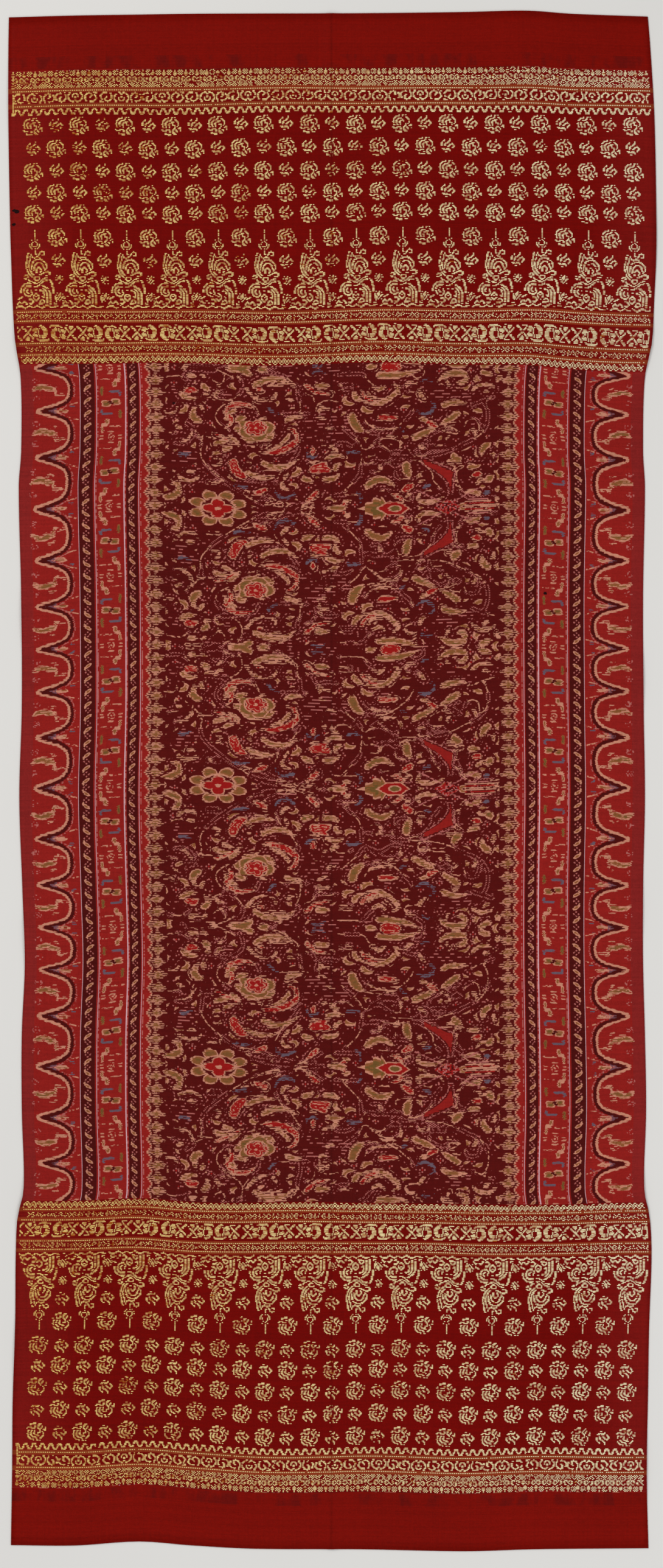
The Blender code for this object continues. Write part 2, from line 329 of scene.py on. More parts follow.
def stemOffsets(stem, x, row, signed, nearest):
    # for the points nearest to this stem: which side they lie on, and how far off
    curve = curvePoints(stem, 5)
    low, high = curve.min(axis=0) - 10, curve.max(axis=0) + 10
    near = (x > low[0]) & (x < high[0]) & (row > low[1]) & (row < high[1])
    if not near.any():
        return
    spot = np.stack([x[near], row[near]], 1)
    found = nearest[near]
    sides = signed[near]
    for a, b in zip(curve[:-1], curve[1:]):
        run = b - a
        length = math.hypot(*run)
        share = np.clip((spot - a) @ run / length**2, 0, 1)
        away = np.hypot(*(spot - a - share[:, None] * run).T)
        side = ((spot - a)[:, 0] * run[1] - (spot - a)[:, 1] * run[0]) / length
        better = away < found
        found = np.where(better, away, found)
        sides = np.where(better, np.where(side < 0, -away, away), sides)
    nearest[near] = found
    signed[near] = sides


def meanderDepth(edge, row):
    # how far on the field's side of the scalloped line each point lies
    pitch = ikat["halfRepeat"] / ikat["scallops"]
    fromCusp = np.abs((row / pitch + 0.5) % 1 - 0.5) * pitch
    curve = curvePoints(scallopLine, 4)
    curve = np.concatenate([curve[:0:-1] * (1, -1), curve, curve[-2:-6:-1] * (1, -1) + (0, 77)])
    depth = np.full(len(edge), 20.0)
    near = edge < 112
    away = np.hypot(edge[near, None] - curve[:, 0], fromCusp[near, None] - curve[:, 1])
    line = np.interp(fromCusp[near], *np.array(scallopLine).T[::-1])
    depth[near] = away.min(axis=1) * np.sign(edge[near] - line)
    return depth


def ikatDepths(x, row):
    # what the shader needs at each point of the ikat, in steps
    edge = np.minimum(x, cloth["widthSteps"] - x)
    depths = {dye: np.full(len(x), -ikat["far"]) for dye in ("gold", "red", "blue")}
    for leaf in leavesOf(fieldLeaves):
        leafDepth(leaf, x, row, depths[leaf.dye])
    pitch = ikat["halfRepeat"] / ikat["scallops"]
    borderRow = row - 8 * np.sin(np.pi * row / ikat["halfRepeat"])
    for cusp in range(ikat["scallops"] + 1):
        for leaf in leavesOf(borderLeaves):
            if cusp == ikat["scallops"] and leaf.headRow > 15:
                continue
            shifted = leaf._replace(
                headRow=leaf.headRow + cusp * pitch, tailRow=leaf.tailRow + cusp * pitch
            )
            leafDepth(shifted, edge, borderRow, depths[leaf.dye])
    signed, nearest = np.full(len(x), ikat["far"]), np.full(len(x), ikat["far"])
    for stem in fieldStems:
        stemOffsets(stem, x, row, signed, nearest)
    dashes = np.full(len(x), -1.0)
    for centreX, centreRow, reachX, reachRow in fieldDashes:
        away = np.hypot((x - centreX) / reachX, (row - centreRow) / reachRow)
        dashes = np.maximum(dashes, 1 - away)
    taken = np.maximum.reduce([*depths.values(), 4 - nearest, dashes * 12])
    return {
        "motifs": np.stack([depths["gold"], depths["red"], depths["blue"]], 1),
        "threads": np.stack([signed, nearest, dashes], 1),
        "ground": np.stack([meanderDepth(edge, borderRow), -taken, borderRow], 1),
    }


def rowPlaces():
    # where the coarse rows lie, in steps down: long cells in the ends, short ones in the ikat
    ends = cloth["endSteps"] / cloth["endRows"]
    middle = cloth["lengthSteps"] - 2 * cloth["endSteps"]
    upper = [ends * i for i in range(cloth["endRows"])]
    between = [
        cloth["endSteps"] + middle * i / cloth["middleRows"] for i in range(cloth["middleRows"])
    ]
    lower = [cloth["lengthSteps"] - ends * i for i in range(cloth["endRows"], -1, -1)]
    return upper + between + lower


def flatCloth():
    # the closed sheet on its chart: x is the share across, y the steps down, z the face
    places = rowPlaces()
    bm = bmesh.new()
    bmesh.ops.create_grid(
        bm, x_segments=cloth["columns"], y_segments=len(places) - 1, size=0.5
    )
    for vert in bm.verts:
        vert.co.x += 0.5
        vert.co.y = places[round((0.5 - vert.co.y) * (len(places) - 1))]
    grown = bmesh.ops.extrude_face_region(bm, geom=bm.faces[:], use_keep_orig=True)["geom"]
    upper = [item for item in grown if isinstance(item, bmesh.types.BMVert)]
    bmesh.ops.translate(bm, verts=upper, vec=(0, 0, 1))
    faces = [item for item in grown if isinstance(item, bmesh.types.BMFace)]
    lowest = cloth["lengthSteps"] - cloth["endSteps"]
    middle = [f for f in faces if cloth["endSteps"] < f.calc_center_median().y < lowest]
    middleEdges = {edge for face in middle for edge in face.edges}
    endEdges = {edge for face in faces for edge in face.edges} - middleEdges
    bmesh.ops.subdivide_edges(bm, edges=list(middleEdges), cuts=3, use_grid_fill=True)
    endEdges = [edge for edge in endEdges if edge.is_valid]
    bmesh.ops.subdivide_edges(bm, edges=endEdges, cuts=1, use_grid_fill=True)
    bmesh.ops.recalc_face_normals(bm, faces=bm.faces)
    mesh = bpy.data.meshes.new("shoulderClothSilk")
    bm.to_mesh(mesh)
    bm.free()
    return mesh


def setAttribute(mesh, name, kind, values):
    layer = mesh.attributes.new(name, kind, "POINT")
    field = "vector" if kind == "FLOAT_VECTOR" else "value"
    layer.data.foreach_set(field, values.astype(np.float32).ravel())


def bakeMap(mesh, flat):
    # the upper face fills two thirds of the map and the underside the rest, walls in between
    loops = np.empty(len(mesh.loops), np.int32)
    mesh.loops.foreach_get("vertex_index", loops)
    across, down, upper = flat[loops].T
    starts = np.empty(len(mesh.polygons), np.int32)
    totals = np.empty(len(mesh.polygons), np.int32)
    mesh.polygons.foreach_get("loop_start", starts)
    mesh.polygons.foreach_get("loop_total", totals)
    lowest = np.repeat(np.minimum.reduceat(upper, starts), totals)
    highest = np.repeat(np.maximum.reduceat(upper, starts), totals)
    wall = (lowest < 0.5) & (highest > 0.5)
    out = np.where(wall & (upper < 0.5), cloth["mapWall"], 0)
    u = cloth["mapMargin"] + cloth["mapUpper"] * across
    u += out * np.sign(across - 0.5) * (np.abs(across - 0.5) > 0.499)
    u = np.where(highest < 0.5, cloth["mapUnderFrom"] + cloth["mapUnder"] * across, u)
    v = cloth["mapMargin"] + cloth["mapLength"] * (1 - down / cloth["lengthSteps"])
    v += out * ((down <= 0) * 1.0 - (down >= cloth["lengthSteps"]))
    layer = mesh.uv_layers.new(name="OFBake")
    layer.data.foreach_set("uv", np.stack([u, v], 1).astype(np.float32).ravel())


def layCloth():
    mesh = flatCloth()
    flat = np.empty(len(mesh.vertices) * 3, np.float32)
    mesh.vertices.foreach_get("co", flat)
    flat = flat.reshape(-1, 3).astype(float)
    across, down, upper = flat.T
    chartX = across * cloth["widthSteps"]
    fromLine = (down - ikat["medallionDown"]) / (2 * ikat["halfRepeat"])
    row = np.abs((fromLine + 0.5) % 1 - 0.5) * 2 * ikat["halfRepeat"]
    setAttribute(mesh, "flat", "FLOAT_VECTOR", np.stack([chartX, down, upper], 1))
    for name, values in ikatDepths(chartX, row).items():
        setAttribute(mesh, name, "FLOAT_VECTOR", values)
    bakeMap(mesh, flat)
    x, y, z = laidPlace(across, down)
    places = np.stack([x, y, z + upper * cloth["thickness"]], 1)
    mesh.vertices.foreach_set("co", places.astype(np.float32).ravel())
    mesh.update()
    mesh.shade_smooth()
    piece = bpy.data.objects.new("shoulderClothSilk", mesh)
    bpy.context.scene.collection.objects.link(piece)
    return piece


class Wire:  # a node's output that can be used in sums, so that a pattern reads as a formula
    def __init__(self, tree, socket):
        self.tree, self.socket = tree, socket

    def reckon(self, operation, *others):
        node = self.tree.nodes.new("ShaderNodeMath")
        node.operation = operation
        for socket, value in zip(node.inputs, (self, *others)):
            plug(self.tree, value, socket)
        return Wire(self.tree, node.outputs[0])

    def __add__(self, other):
        return self.reckon("ADD", other)

    def __sub__(self, other):
        return self.reckon("SUBTRACT", other)

    def __mul__(self, other):
        return self.reckon("MULTIPLY", other)

    def __truediv__(self, other):
        return self.reckon("DIVIDE", other)

    def __gt__(self, other):
        return self.reckon("GREATER_THAN", other)

    def __lt__(self, other):
        return self.reckon("LESS_THAN", other)

    def __abs__(self):
        return self.reckon("ABSOLUTE")

    def floor(self):
        return self.reckon("FLOOR")

    def less(self, other):
        return self.reckon("MINIMUM", other)

    def more(self, other):
        return self.reckon("MAXIMUM", other)


def plug(tree, value, socket):
    if isinstance(value, Wire):
        tree.links.new(value.socket, socket)
    else:
        socket.default_value = value


def attribute(tree, name):
    node = tree.nodes.new("ShaderNodeAttribute")
    node.attribute_name = name
    return node


def parts(tree, vector):
    node = tree.nodes.new("ShaderNodeSeparateXYZ")
    tree.links.new(vector, node.inputs[0])
    return [Wire(tree, output) for output in node.outputs]


def randomAt(tree, x, y=0.0, z=0.0):
    # a random value for each whole cell
    join = tree.nodes.new("ShaderNodeCombineXYZ")
    for value, socket in zip((x, y, z), join.inputs):
        plug(tree, value, socket)
    node = tree.nodes.new("ShaderNodeTexWhiteNoise")
    node.noise_dimensions = "3D"
    tree.links.new(join.outputs[0], node.inputs["Vector"])
    return Wire(tree, node.outputs["Value"])


def cloudy(tree, scale, detail=2.0, stretch=(1, 1, 1)):
    # soft blotches in metres
    place = tree.nodes.new("ShaderNodeTexCoord")
    mapping = tree.nodes.new("ShaderNodeMapping")
    mapping.inputs["Scale"].default_value = stretch
    node = tree.nodes.new("ShaderNodeTexNoise")
    node.inputs["Scale"].default_value = scale
    node.inputs["Detail"].default_value = detail
    tree.links.new(place.outputs["Object"], mapping.inputs["Vector"])
    tree.links.new(mapping.outputs[0], node.inputs["Vector"])
    return Wire(tree, node.outputs[0])


def linear(red, green, blue):
    # a colour as seen on a screen, 0 to 255, as the shader's own numbers
    shades = [c / 255 for c in (red, green, blue)]
    return (*[c / 12.92 if c < 0.04045 else ((c + 0.055) / 1.055) ** 2.4 for c in shades], 1.0)


def overlay(tree, mask, colour, ground):
    node = tree.nodes.new("ShaderNodeMix")
    node.data_type = "RGBA"
    plug(tree, mask, node.inputs[0])
    plug(tree, ground, node.inputs[6])
    plug(tree, colour, node.inputs[7])
    return Wire(tree, node.outputs[2])


def banded(tree, place, reach, bands):
    # a colour for each band: (where it starts, colour), in steps
    node = tree.nodes.new("ShaderNodeValToRGB")
    ramp = node.color_ramp
    ramp.interpolation = "CONSTANT"
    for number, (start, colour) in enumerate(bands):
        if number < 2:
            stop = ramp.elements[number]
            stop.position = start / reach
        else:
            stop = ramp.elements.new(start / reach)
        stop.color = colour
    plug(tree, place / reach, node.inputs[0])
    return Wire(tree, node.outputs[0])


dyes = {
    "tail": linear(124, 11, 3),
    "brocadeGround": linear(112, 4, 1),
    "edgeGround": linear(122, 17, 13),
    "beadGround": linear(140, 56, 26),
    "selvedge": linear(132, 32, 30),
    "borderRed": linear(142, 28, 24),
    "field": linear(84, 13, 11),
    "dark": linear(74, 12, 10),
    "line": linear(208, 168, 176),
    "cream": linear(194, 130, 106),
    "pink": linear(174, 98, 92),
    "tan": linear(138, 82, 46),
    "olive": linear(108, 78, 38),
    "red": linear(150, 22, 20),
    "blue": linear(100, 82, 94),
    "spot": linear(30, 8, 9),
}


def threadRows():
    # one group for the silk and the gold: how the light and the surface change from row to row
    group = bpy.data.node_groups.new("threadRows", "ShaderNodeTree")
    for name in ("Row", "Across"):
        group.interface.new_socket(name, in_out="INPUT", socket_type="NodeSocketFloat")
    for name in ("Tone", "Height"):
        group.interface.new_socket(name, in_out="OUTPUT", socket_type="NodeSocketFloat")
    entry = group.nodes.new("NodeGroupInput")
    leave = group.nodes.new("NodeGroupOutput")
    row, across = Wire(group, entry.outputs[0]), Wire(group, entry.outputs[1])
    whole = row.floor()
    tone = randomAt(group, whole) * 0.6 + randomAt(group, whole, (across / 7).floor()) * 0.4
    height = (row * math.tau).reckon("COSINE") * -0.5 + 0.5
    plug(group, tone, leave.inputs[0])
    plug(group, height, leave.inputs[1])
    return group


def threadNodes(tree, group, row, across):
    node = tree.nodes.new("ShaderNodeGroup")
    node.node_tree = group
    plug(tree, row, node.inputs[0])
    plug(tree, across, node.inputs[1])
    return Wire(tree, node.outputs[0]), Wire(tree, node.outputs[1])


def newMaterial(name, roughness, metallic):
    material = bpy.data.materials.new(name)
    material.use_nodes = True
    shader = material.node_tree.nodes["Principled BSDF"]
    shader.inputs["Roughness"].default_value = roughness
    shader.inputs["Metallic"].default_value = metallic
    shader.inputs["Specular IOR Level"].default_value = 0.04
    return material, material.node_tree, shader


def bump(tree, shader, height, distance):
    node = tree.nodes.new("ShaderNodeBump")
    node.inputs["Distance"].default_value = distance
    plug(tree, height, node.inputs["Height"])
    tree.links.new(node.outputs[0], shader.inputs["Normal"])


silk = {
    "roughness": 0.55,
    "rowSteps": 1.8,         # pitch of the rows in which the dyed weft steps
    "frayX": 5.6,            # length of the shifts in the dyed edges
    "frayReach": 2.5,
    "combReach": 1.3,        # every other row reaches further, which feathers the edges
    "ribHeight": 0.00012,
    "toothPitch": 10.48,     # half the pitch of the serrated edge
    "hookPitch": 57.6,       # half the repeat of the red stripe
    "creaseX": 512.0,
    "medallionX": 326.0,
    "medallionStretch": 1.62,
    "roseX": 387.0,
    "roseRow": 135.0,
    "budX": 554.0,           # the tip of the bud on the medallions' axis
    "diamondX": 702.0,
    "spots": [(11, 324, 4.2), (6, 345, 3.2), (864, 957, 3), (252, 645, 2), (7, 322, 3)],
}


class Weave:  # the charts at the point that is shaded, as wires, and its colour so far
    def __init__(self, tree):
        self.tree = tree
        x, down = parts(tree, attribute(tree, "flat").outputs["Vector"])[:2]
        motifs, threads, ground = [
            parts(tree, attribute(tree, name).outputs["Vector"])
            for name in ("motifs", "threads", "ground")
        ]
        self.x, self.down = x, down
        self.gold, self.red, self.blue = motifs
        self.stemSide, self.stemNear, self.dashes = threads
        self.meander, self.room, self.borderRow = ground
        self.edge = x.less((x - cloth["widthSteps"]) * -1)
        self.row = (down - ikat["medallionDown"]).reckon("PINGPONG", ikat["halfRepeat"])
        self.weft = (down / silk["rowSteps"]).floor()
        self.shift = randomAt(tree, self.weft)
        self.run = (x / silk["frayX"] + self.shift * 3).floor()
        self.fray = randomAt(tree, self.run, self.weft) - 0.5
        self.comb = self.weft.reckon("MODULO", 2.0) - 0.5
        self.loose = self.fray * silk["frayReach"] + self.comb * silk["combReach"]
        self.sparse = randomAt(tree, self.weft, (x / 3).floor()) > 0.45
        self.spotted = self.chance(2.4) > 0.6
        self.streaky = self.fray * 0.9 + 0.6
        self.region = cloudy(tree, 28.0, 1.0)
        a, b = x - silk["medallionX"], self.row * silk["medallionStretch"]
        self.fromMedallion = distance(a, b) + self.loose * 1.1
        self.field = (self.edge > 238) * (self.fromMedallion > 56)

    def chance(self, pitch, seed=0.0):
        return randomAt(self.tree, (self.x / pitch).floor(), self.weft, seed)

    def runChance(self, seed):
        return randomAt(self.tree, self.run, self.weft, seed)

    def paint(self, mask, dye):
        self.colour = overlay(self.tree, mask, dyes[dye], self.colour)


def distance(a, b):
    return (a * a + b * b).reckon("SQRT")


def oval(a, b, reachA, reachB, power=2):
    # below 1 inside an oval with these reaches
    return (a / reachA).reckon("POWER", power) + (b / reachB).reckon("POWER", power)


def petals(a, b, half, wave):
    # 1 in the middle of each petal round the centre, 0 between them
    return abs((b.reckon("ARCTAN2", a) * half).reckon(wave))


def dyeStripes(weave):
    # the stripes of the borders, from the selvedge to the field
    weave.colour = banded(weave.tree, weave.edge, 225, [
        (0, dyes["selvedge"]), (20, dyes["borderRed"]), (96.5, dyes["line"]),
        (97.5, dyes["dark"]), (121, dyes["borderRed"]), (123.6, dyes["line"]),
        (124.6, dyes["borderRed"]), (171.3, dyes["line"]), (172.3, dyes["borderRed"]),
        (175.5, dyes["dark"]), (193.5, dyes["borderRed"]), (195.8, dyes["line"]),
        (196.8, dyes["borderRed"]), (214, dyes["field"]),
    ])


def dyeScallops(weave):
    # a cream line, a dark one on its inner side and dots beyond
    edge, sparse, pitch = weave.edge, weave.sparse, ikat["scallopPitch"]
    lace = (edge > 16) * (edge < 94.6)
    bent = weave.meander + weave.loose * 0.6
    fromCusp = abs((weave.borderRow / pitch + 0.5).reckon("FRACT") - 0.5) * pitch
    weave.paint(lace * (abs(bent + 2.7) < 2.0), "cream")
    weave.paint(lace * (abs(bent - 2.2) < 2.5), "dark")
    tip = lace * (bent > 4.4) * (bent < 7.0) * (fromCusp < 8) * (edge < 58)
    weave.paint(tip * 0.7, "blue")
    weave.paint(lace * (abs(bent - 6.6) < 0.9) * sparse, "pink")
    chevron = abs(fromCusp - (edge - 50).more(0) * 0.25 - 4)
    weave.paint(lace * (bent > 8) * (chevron < 1.1) * sparse, "cream")
    near = distance(edge - 24, (fromCusp - 22) * 1.3)
    weave.paint((near < 6.78) * weave.spotted * sparse, "pink")


def dyeDarkStripes(weave):
    # little leaves and dots by turns
    toTooth = weave.row.reckon("MODULO", silk["toothPitch"] * 2) - silk["toothPitch"]
    toNext = abs(toTooth) * -1 + silk["toothPitch"]
    for centre, size in ((109.6, 1.0), (184.6, 0.82)):
        a = (weave.edge - centre + weave.loose * 0.5) / size
        leaf = oval(a * 0.83 + toTooth * 0.56, a * 0.56 - toTooth * 0.83, 7.0, 2.7)
        hook = oval(a + 4.8, toTooth + 4.6, 1.6, 3.0)
        weave.paint(leaf.less(hook) < 1, "cream")
        weave.paint(leaf < 0.3, "tan")
        sides = (abs(a) - 3.8).reckon("POWER", 2) + toNext * toNext * 0.7
        ends = a * a + (toNext - 3.4).reckon("POWER", 2)
        weave.paint(sides.less(ends) < 1.7, "pink")
    lining = randomAt(weave.tree, (weave.down / 2.6).floor(), 3.0) > 0.5
    for centre in (126.5, 174.2, 199.5):
        weave.paint((abs(weave.edge - centre) < 0.8) * lining, "pink")


def dyeRedStripe(weave):
    # hooks, bars, rosettes and florets
    pitch = silk["hookPitch"]
    turn = (weave.row / pitch).floor().reckon("MODULO", 2.0) * -2 + 1
    a = (weave.edge - 148) * turn + weave.loose * 0.8
    q = weave.row.reckon("PINGPONG", pitch) + weave.loose * 0.4

    def patch(centreA, centreQ, reachA, reachQ):
        return oval(a - centreA, q - centreQ, reachA, reachQ, 4) < 1

    ring = distance(a, q) - 5.0
    bars = patch(0, 9, 5, 1.1).more((abs(abs(a) - 15.5) < 3) * (abs(q - 2.4) < 1.0))
    weave.paint((abs(ring) < 1.2) * weave.sparse, "cream")
    weave.paint(bars.more(ring < -3.4), "cream")
    bend = patch(-6.5, 26.5, 3.4, 4.8).more(patch(-10.5, 21, 5, 3)).more(patch(-14.5, 13, 2.4, 6))
    weave.paint(bend.more(patch(8, 18.2, 10.5, 1.2) * weave.sparse), "cream")
    weave.paint(patch(-7, 26, 2, 3.2).more(patch(-14.5, 13, 1.2, 4)), "tan")
    weave.paint(patch(15, 38.5, 2.4, 7.5), "tan")
    weave.paint(patch(15, 38.5, 1.4, 5.0), "olive")
    weave.paint(patch(-6, 39.4, 9, 1.9).more(patch(-15, 43, 2.2, 3.6)), "blue")
    weave.paint(patch(-7.5, 55.2, 7.5, 4.2).more(patch(9, 57.0, 7, 3.6)), "cream")
    weave.paint(patch(-7.5, 55.4, 5, 2.6).more(patch(9, 57.4, 5, 2.4)), "tan")
    weave.paint(patch(-7.5, 55.6, 3, 1.6), "olive")
    weave.paint(patch(1.5, 57.4, 3.2, 2.8), "dark")


def dyeSerratedEdge(weave):
    # the edge of the field: a dashed line, and a row of ragged leaves
    edge, comb = weave.edge, weave.comb
    tooth = weave.row.reckon("PINGPONG", silk["toothPitch"])
    notch = edge - 205.5 - tooth * 0.75 + comb * 2.2
    weave.paint((notch > 0) * (edge < 215), "field")
    weave.paint((abs(notch - 0.6) < 1.5) * (edge < 214), "cream")
    ragged = abs(edge - 222.5) / 12.5 + tooth / 8.6 + comb * 0.44 + weave.fray * 0.6
    weave.paint((ragged < 1) * 0.85, "cream")
    weave.paint(ragged < 0.5, "tan")
    weave.paint((ragged * -2.2 + 0.7).more(0).less(0.5), "olive")


def dyeDots(weave):
    # dots in clusters, wherever the field leaves room for them, and in lines round the leaves
    tree, x, down, field, region = weave.tree, weave.x, weave.down, weave.field, weave.region
    spread = (x / 27).floor()
    stagger = spread.reckon("MODULO", 2.0) * 10
    level = ((down + stagger) / 21).floor()
    chance = randomAt(tree, spread, level)
    other = randomAt(tree, level, spread, 7.0)
    a = x - spread * 27 - 9 - chance * 9
    b = down + stagger - level * 21 - 7 - other * 7
    sideDot = ((abs(a) - 4.1).reckon("POWER", 2) + b * b) < 2.2
    endDot = (a * a + (abs(b) - 3.5).reckon("POWER", 2)) < 1.9
    free = (weave.room > 4.4) * field
    weave.paint(sideDot.more(endDot) * free, "pink")
    weave.paint(((a * a + b * b) < 2.0) * free, "red")
    rim = weave.gold.more(weave.red) + weave.loose * 0.3
    beads = ((x / 6.4 + down / 9).reckon("FRACT") < 0.45) * ((down / 5.4).reckon("FRACT") < 0.5)
    echo = (abs(rim + 5.0) < 1.1) * (region > 0.5)
    weave.paint(echo * beads * field, "pink")
    lines = (abs(rim + 3.6) < 0.7) * (region < 0.34) * (weave.runChance(8.0) > 0.4)
    weave.paint(lines * field, "cream")
    weave.paint((weave.chance(2.8, 3.0) > 0.985) * (weave.room > 1.2) * field, "pink")


def dyeCommas(weave):
    # commas of all sizes in the larger gaps, mirrored like the leaves
    tree, x, row = weave.tree, weave.x, weave.row
    spread = (x / 31).floor()
    stagger = spread.reckon("MODULO", 2.0) * 12
    level = ((row + stagger) / 25).floor()
    chance = randomAt(tree, spread, level, 2.0)
    other = randomAt(tree, level, spread, 4.0)
    size = other * 0.5 + 0.7
    a = (x - spread * 31 - 15.5) * ((chance > 0.5) * 2 - 1) / size + chance * 4 - 2
    a = a + weave.loose * 0.6
    b = (row + stagger - level * 25 - 12.5) * ((other > 0.5) * 2 - 1) / size
    whole = oval(a, b, 12, 8) * -1 + 1
    comma = whole.less(oval(a - 5, b - 4, 10, 6.4) - 1) * 5 + weave.loose * 0.6
    comma = comma * (weave.room > 4.6) * (chance > 0.3) * weave.field
    weave.paint(comma > 0, "cream")
    weave.paint(comma > 2.0, "tan")


def dyeStems(weave):
    # patches of dashes, and stems that are a line in some parts and twin rows of dots in others
    x, comb, side, field = weave.x, weave.comb, weave.stemSide, weave.field
    dashed = randomAt(weave.tree, (x / 6.5 + weave.shift * 5).floor(), weave.weft) > 0.6
    dashed = (weave.weft.reckon("MODULO", 3.0) < 0.5) * dashed
    weave.paint((weave.dashes + weave.fray * 0.5 > 0.0) * dashed * field, "pink")
    thread = (abs(side + weave.loose * 0.35) < 1.0) * (weave.stemNear < 3.4) * (weave.region < 0.52)
    broken = randomAt(weave.tree, (x / 4.5 + weave.shift * 2).floor(), weave.weft, 5.0) > 0.32
    weave.paint(thread * broken * field, "cream")
    twin = (abs(abs(side) - 2.6) < 1.2) * (weave.stemNear < 4.4) * (weave.region > 0.48)
    twin = twin * ((x / 5.2 + comb * 0.5).reckon("FRACT") < 0.5) * (weave.runChance(2.0) > 0.2)
    weave.paint(twin * field, "pink")


def dyeLeaves(weave):
    # small blue leaves, tan ones with a cream edge, and red ones
    gold, red = weave.gold + weave.loose, weave.red + weave.loose
    apart = red - gold
    weave.paint(weave.blue + weave.loose > 0.4, "blue")
    weave.paint(gold > 0, "cream")
    weave.paint(gold > 2.0, "tan")
    core = ((gold - 3.0) / 1.6).more(0).less(1) * (cloudy(weave.tree, 60.0, 1.0) + 0.4)
    weave.paint((core * weave.streaky).less(0.9), "olive")
    weave.paint((red > 0) * (apart > -0.6), "cream")
    weave.paint((red > 1.6) * (apart > 1.0), "red")
    dotted = (red > 4.3) * (red < 5.6) * (weave.chance(4, 9.0) > 0.45)
    weave.paint(dotted * (apart > 1.0), "cream")


def dyeMedallion(weave):
    # eight petals round a red cross
    a, b = weave.x - silk["medallionX"], weave.row * silk["medallionStretch"]
    away = weave.fromMedallion
    lobe = petals(a, b, 4, "SINE")
    petal = (lobe.reckon("SQRT") * 24 + 26 - away).less(away - 27)
    weave.paint(petal > 0, "cream")
    weave.paint((petal > 3.4) * (lobe > 0.4), "tan")
    weave.paint((petal > 6.4) * (lobe > 0.72) * weave.streaky, "olive")
    cross = petals(a, b, 2, "COSINE") * 11 + 16 - away
    weave.paint(cross > 0, "cream")
    weave.paint((cross > 3.2) * (away > 5), "red")


def dyeRose(weave):
    # a red flower with cream lines in it, on a lobed leaf
    a, b = weave.x - silk["roseX"], (weave.row - silk["roseRow"]) * 1.4
    lobe = petals(a, b, 2.5, "COSINE")
    away = distance(a, b) + weave.loose * 0.8
    leafy = (lobe * 7 + 25 - away).less(away - 18) * (b < 16)
    weave.paint(leafy > 0, "cream")
    weave.paint(leafy > 2.4, "tan")
    weave.paint((leafy > 4) * weave.streaky, "olive")
    flower = lobe * 5 + 15 - away
    weave.paint(flower > 0, "cream")
    weave.paint(flower > 2.2, "red")
    weave.paint(abs(flower - 7.4 + lobe * 1.6) < 1.0, "cream")
    weave.paint(away < 3, "cream")


def dyeBud(weave):
    # further along the medallions' axis, a bud with a red heart that points to the left
    row, loose, a = weave.row, weave.loose, weave.x - silk["budX"]
    notch = (a / 13).reckon("FRACT") * 5
    bud = (a * 0.66).less(20).less(abs(a - 30) * -1 + 31) - notch - row + loose * 0.5
    weave.paint(bud > 0, "cream")
    weave.paint(bud > 3.2, "tan")
    weave.paint((bud > 7) * (weave.fray > -0.2), "olive")
    heart = ((a - 34) * 0.55).less(9).less((a - 84) * -0.7) - row + loose * 0.6
    weave.paint(heart > -2.2, "cream")
    weave.paint(heart > 0, "red")
    core = oval(a - 62, row, 11, 5.6) + weave.fray * 0.4
    weave.paint(core < 1, "cream")
    weave.paint(core < 0.5, "olive")


def dyeDiamond(weave):
    # a red diamond with rays, two fins and streaks
    row, loose, a = weave.row, weave.loose, weave.x - silk["diamondX"]
    dotted = weave.spotted + weave.comb > 0
    diamond = (row * 1.8 + abs(a)) * -1 + 22 + loose
    weave.paint((abs(row - abs(a) * 0.5 - 4) < 1.3) * (row > 9) * (row < 30) * dotted, "pink")
    weave.paint(diamond > 0, "red")
    weave.paint((diamond > 0) * weave.spotted, "pink")
    weave.paint((diamond > 3) * (weave.chance(3, 4.0) > 0.7), "dark")
    sweep = ((row - 27) / 41).reckon("POWER", 2) * 36
    fin = ((a - row * 0.14 - 1) * -1).less(a - 5 + sweep).less(a + 38)
    fin = fin.less((row + a * 0.45 - 62) * -1).less((row - 25) * 1.2) + loose * 0.8
    weave.paint(fin > 0, "borderRed")
    weave.paint((abs(fin + 3.4) < 1.1) * dotted, "pink")
    streak = (a > 28) * (a < 80) * (weave.runChance(1.0) > 0.15)
    for centre, dye in ((1.4, "cream"), (4.8, "red"), (8.2, "cream"), (11.4, "pink")):
        tapered = abs(a - 50) + centre * 1.5 < 34
        weave.paint(streak * (abs(row - centre) < 1.0) * tapered, dye)


def dyeEnds(weave):
    # plain tail, dark smudges beside the gold, and orange strips in its bands
    def inRows(first, last, end):
        low, high = sorted((rowDown(first, end), rowDown(last, end)))
        return (weave.down > low) * (weave.down < high)

    inward = ((weave.edge - 20) / 90).more(0).less(1)
    brocaded = overlay(weave.tree, inward, dyes["brocadeGround"], dyes["edgeGround"])
    smudge = ((cloudy(weave.tree, 60.0, 3.0, (1, 0.4, 1)) - 0.46) * 3).more(0).less(0.5)
    for end in ("upper", "lower"):
        weave.colour = overlay(weave.tree, inRows(0, 268.6, end), brocaded, weave.colour)
        for start, stop in brocade["strips"]:
            weave.paint(inRows(start, stop, end) * 0.85, "beadGround")
        weave.paint(inRows(-60, -0.5, end), "tail")
        weave.paint(inRows(-13, -2, end) * smudge, "field")
    for spotX, spotDown, reach in silk["spots"]:
        away = (weave.x - spotX).reckon("POWER", 2) + ((weave.down - spotDown) * 1.3).reckon("POWER", 2)
        weave.paint(away + weave.fray * 9 < reach * reach, "spot")


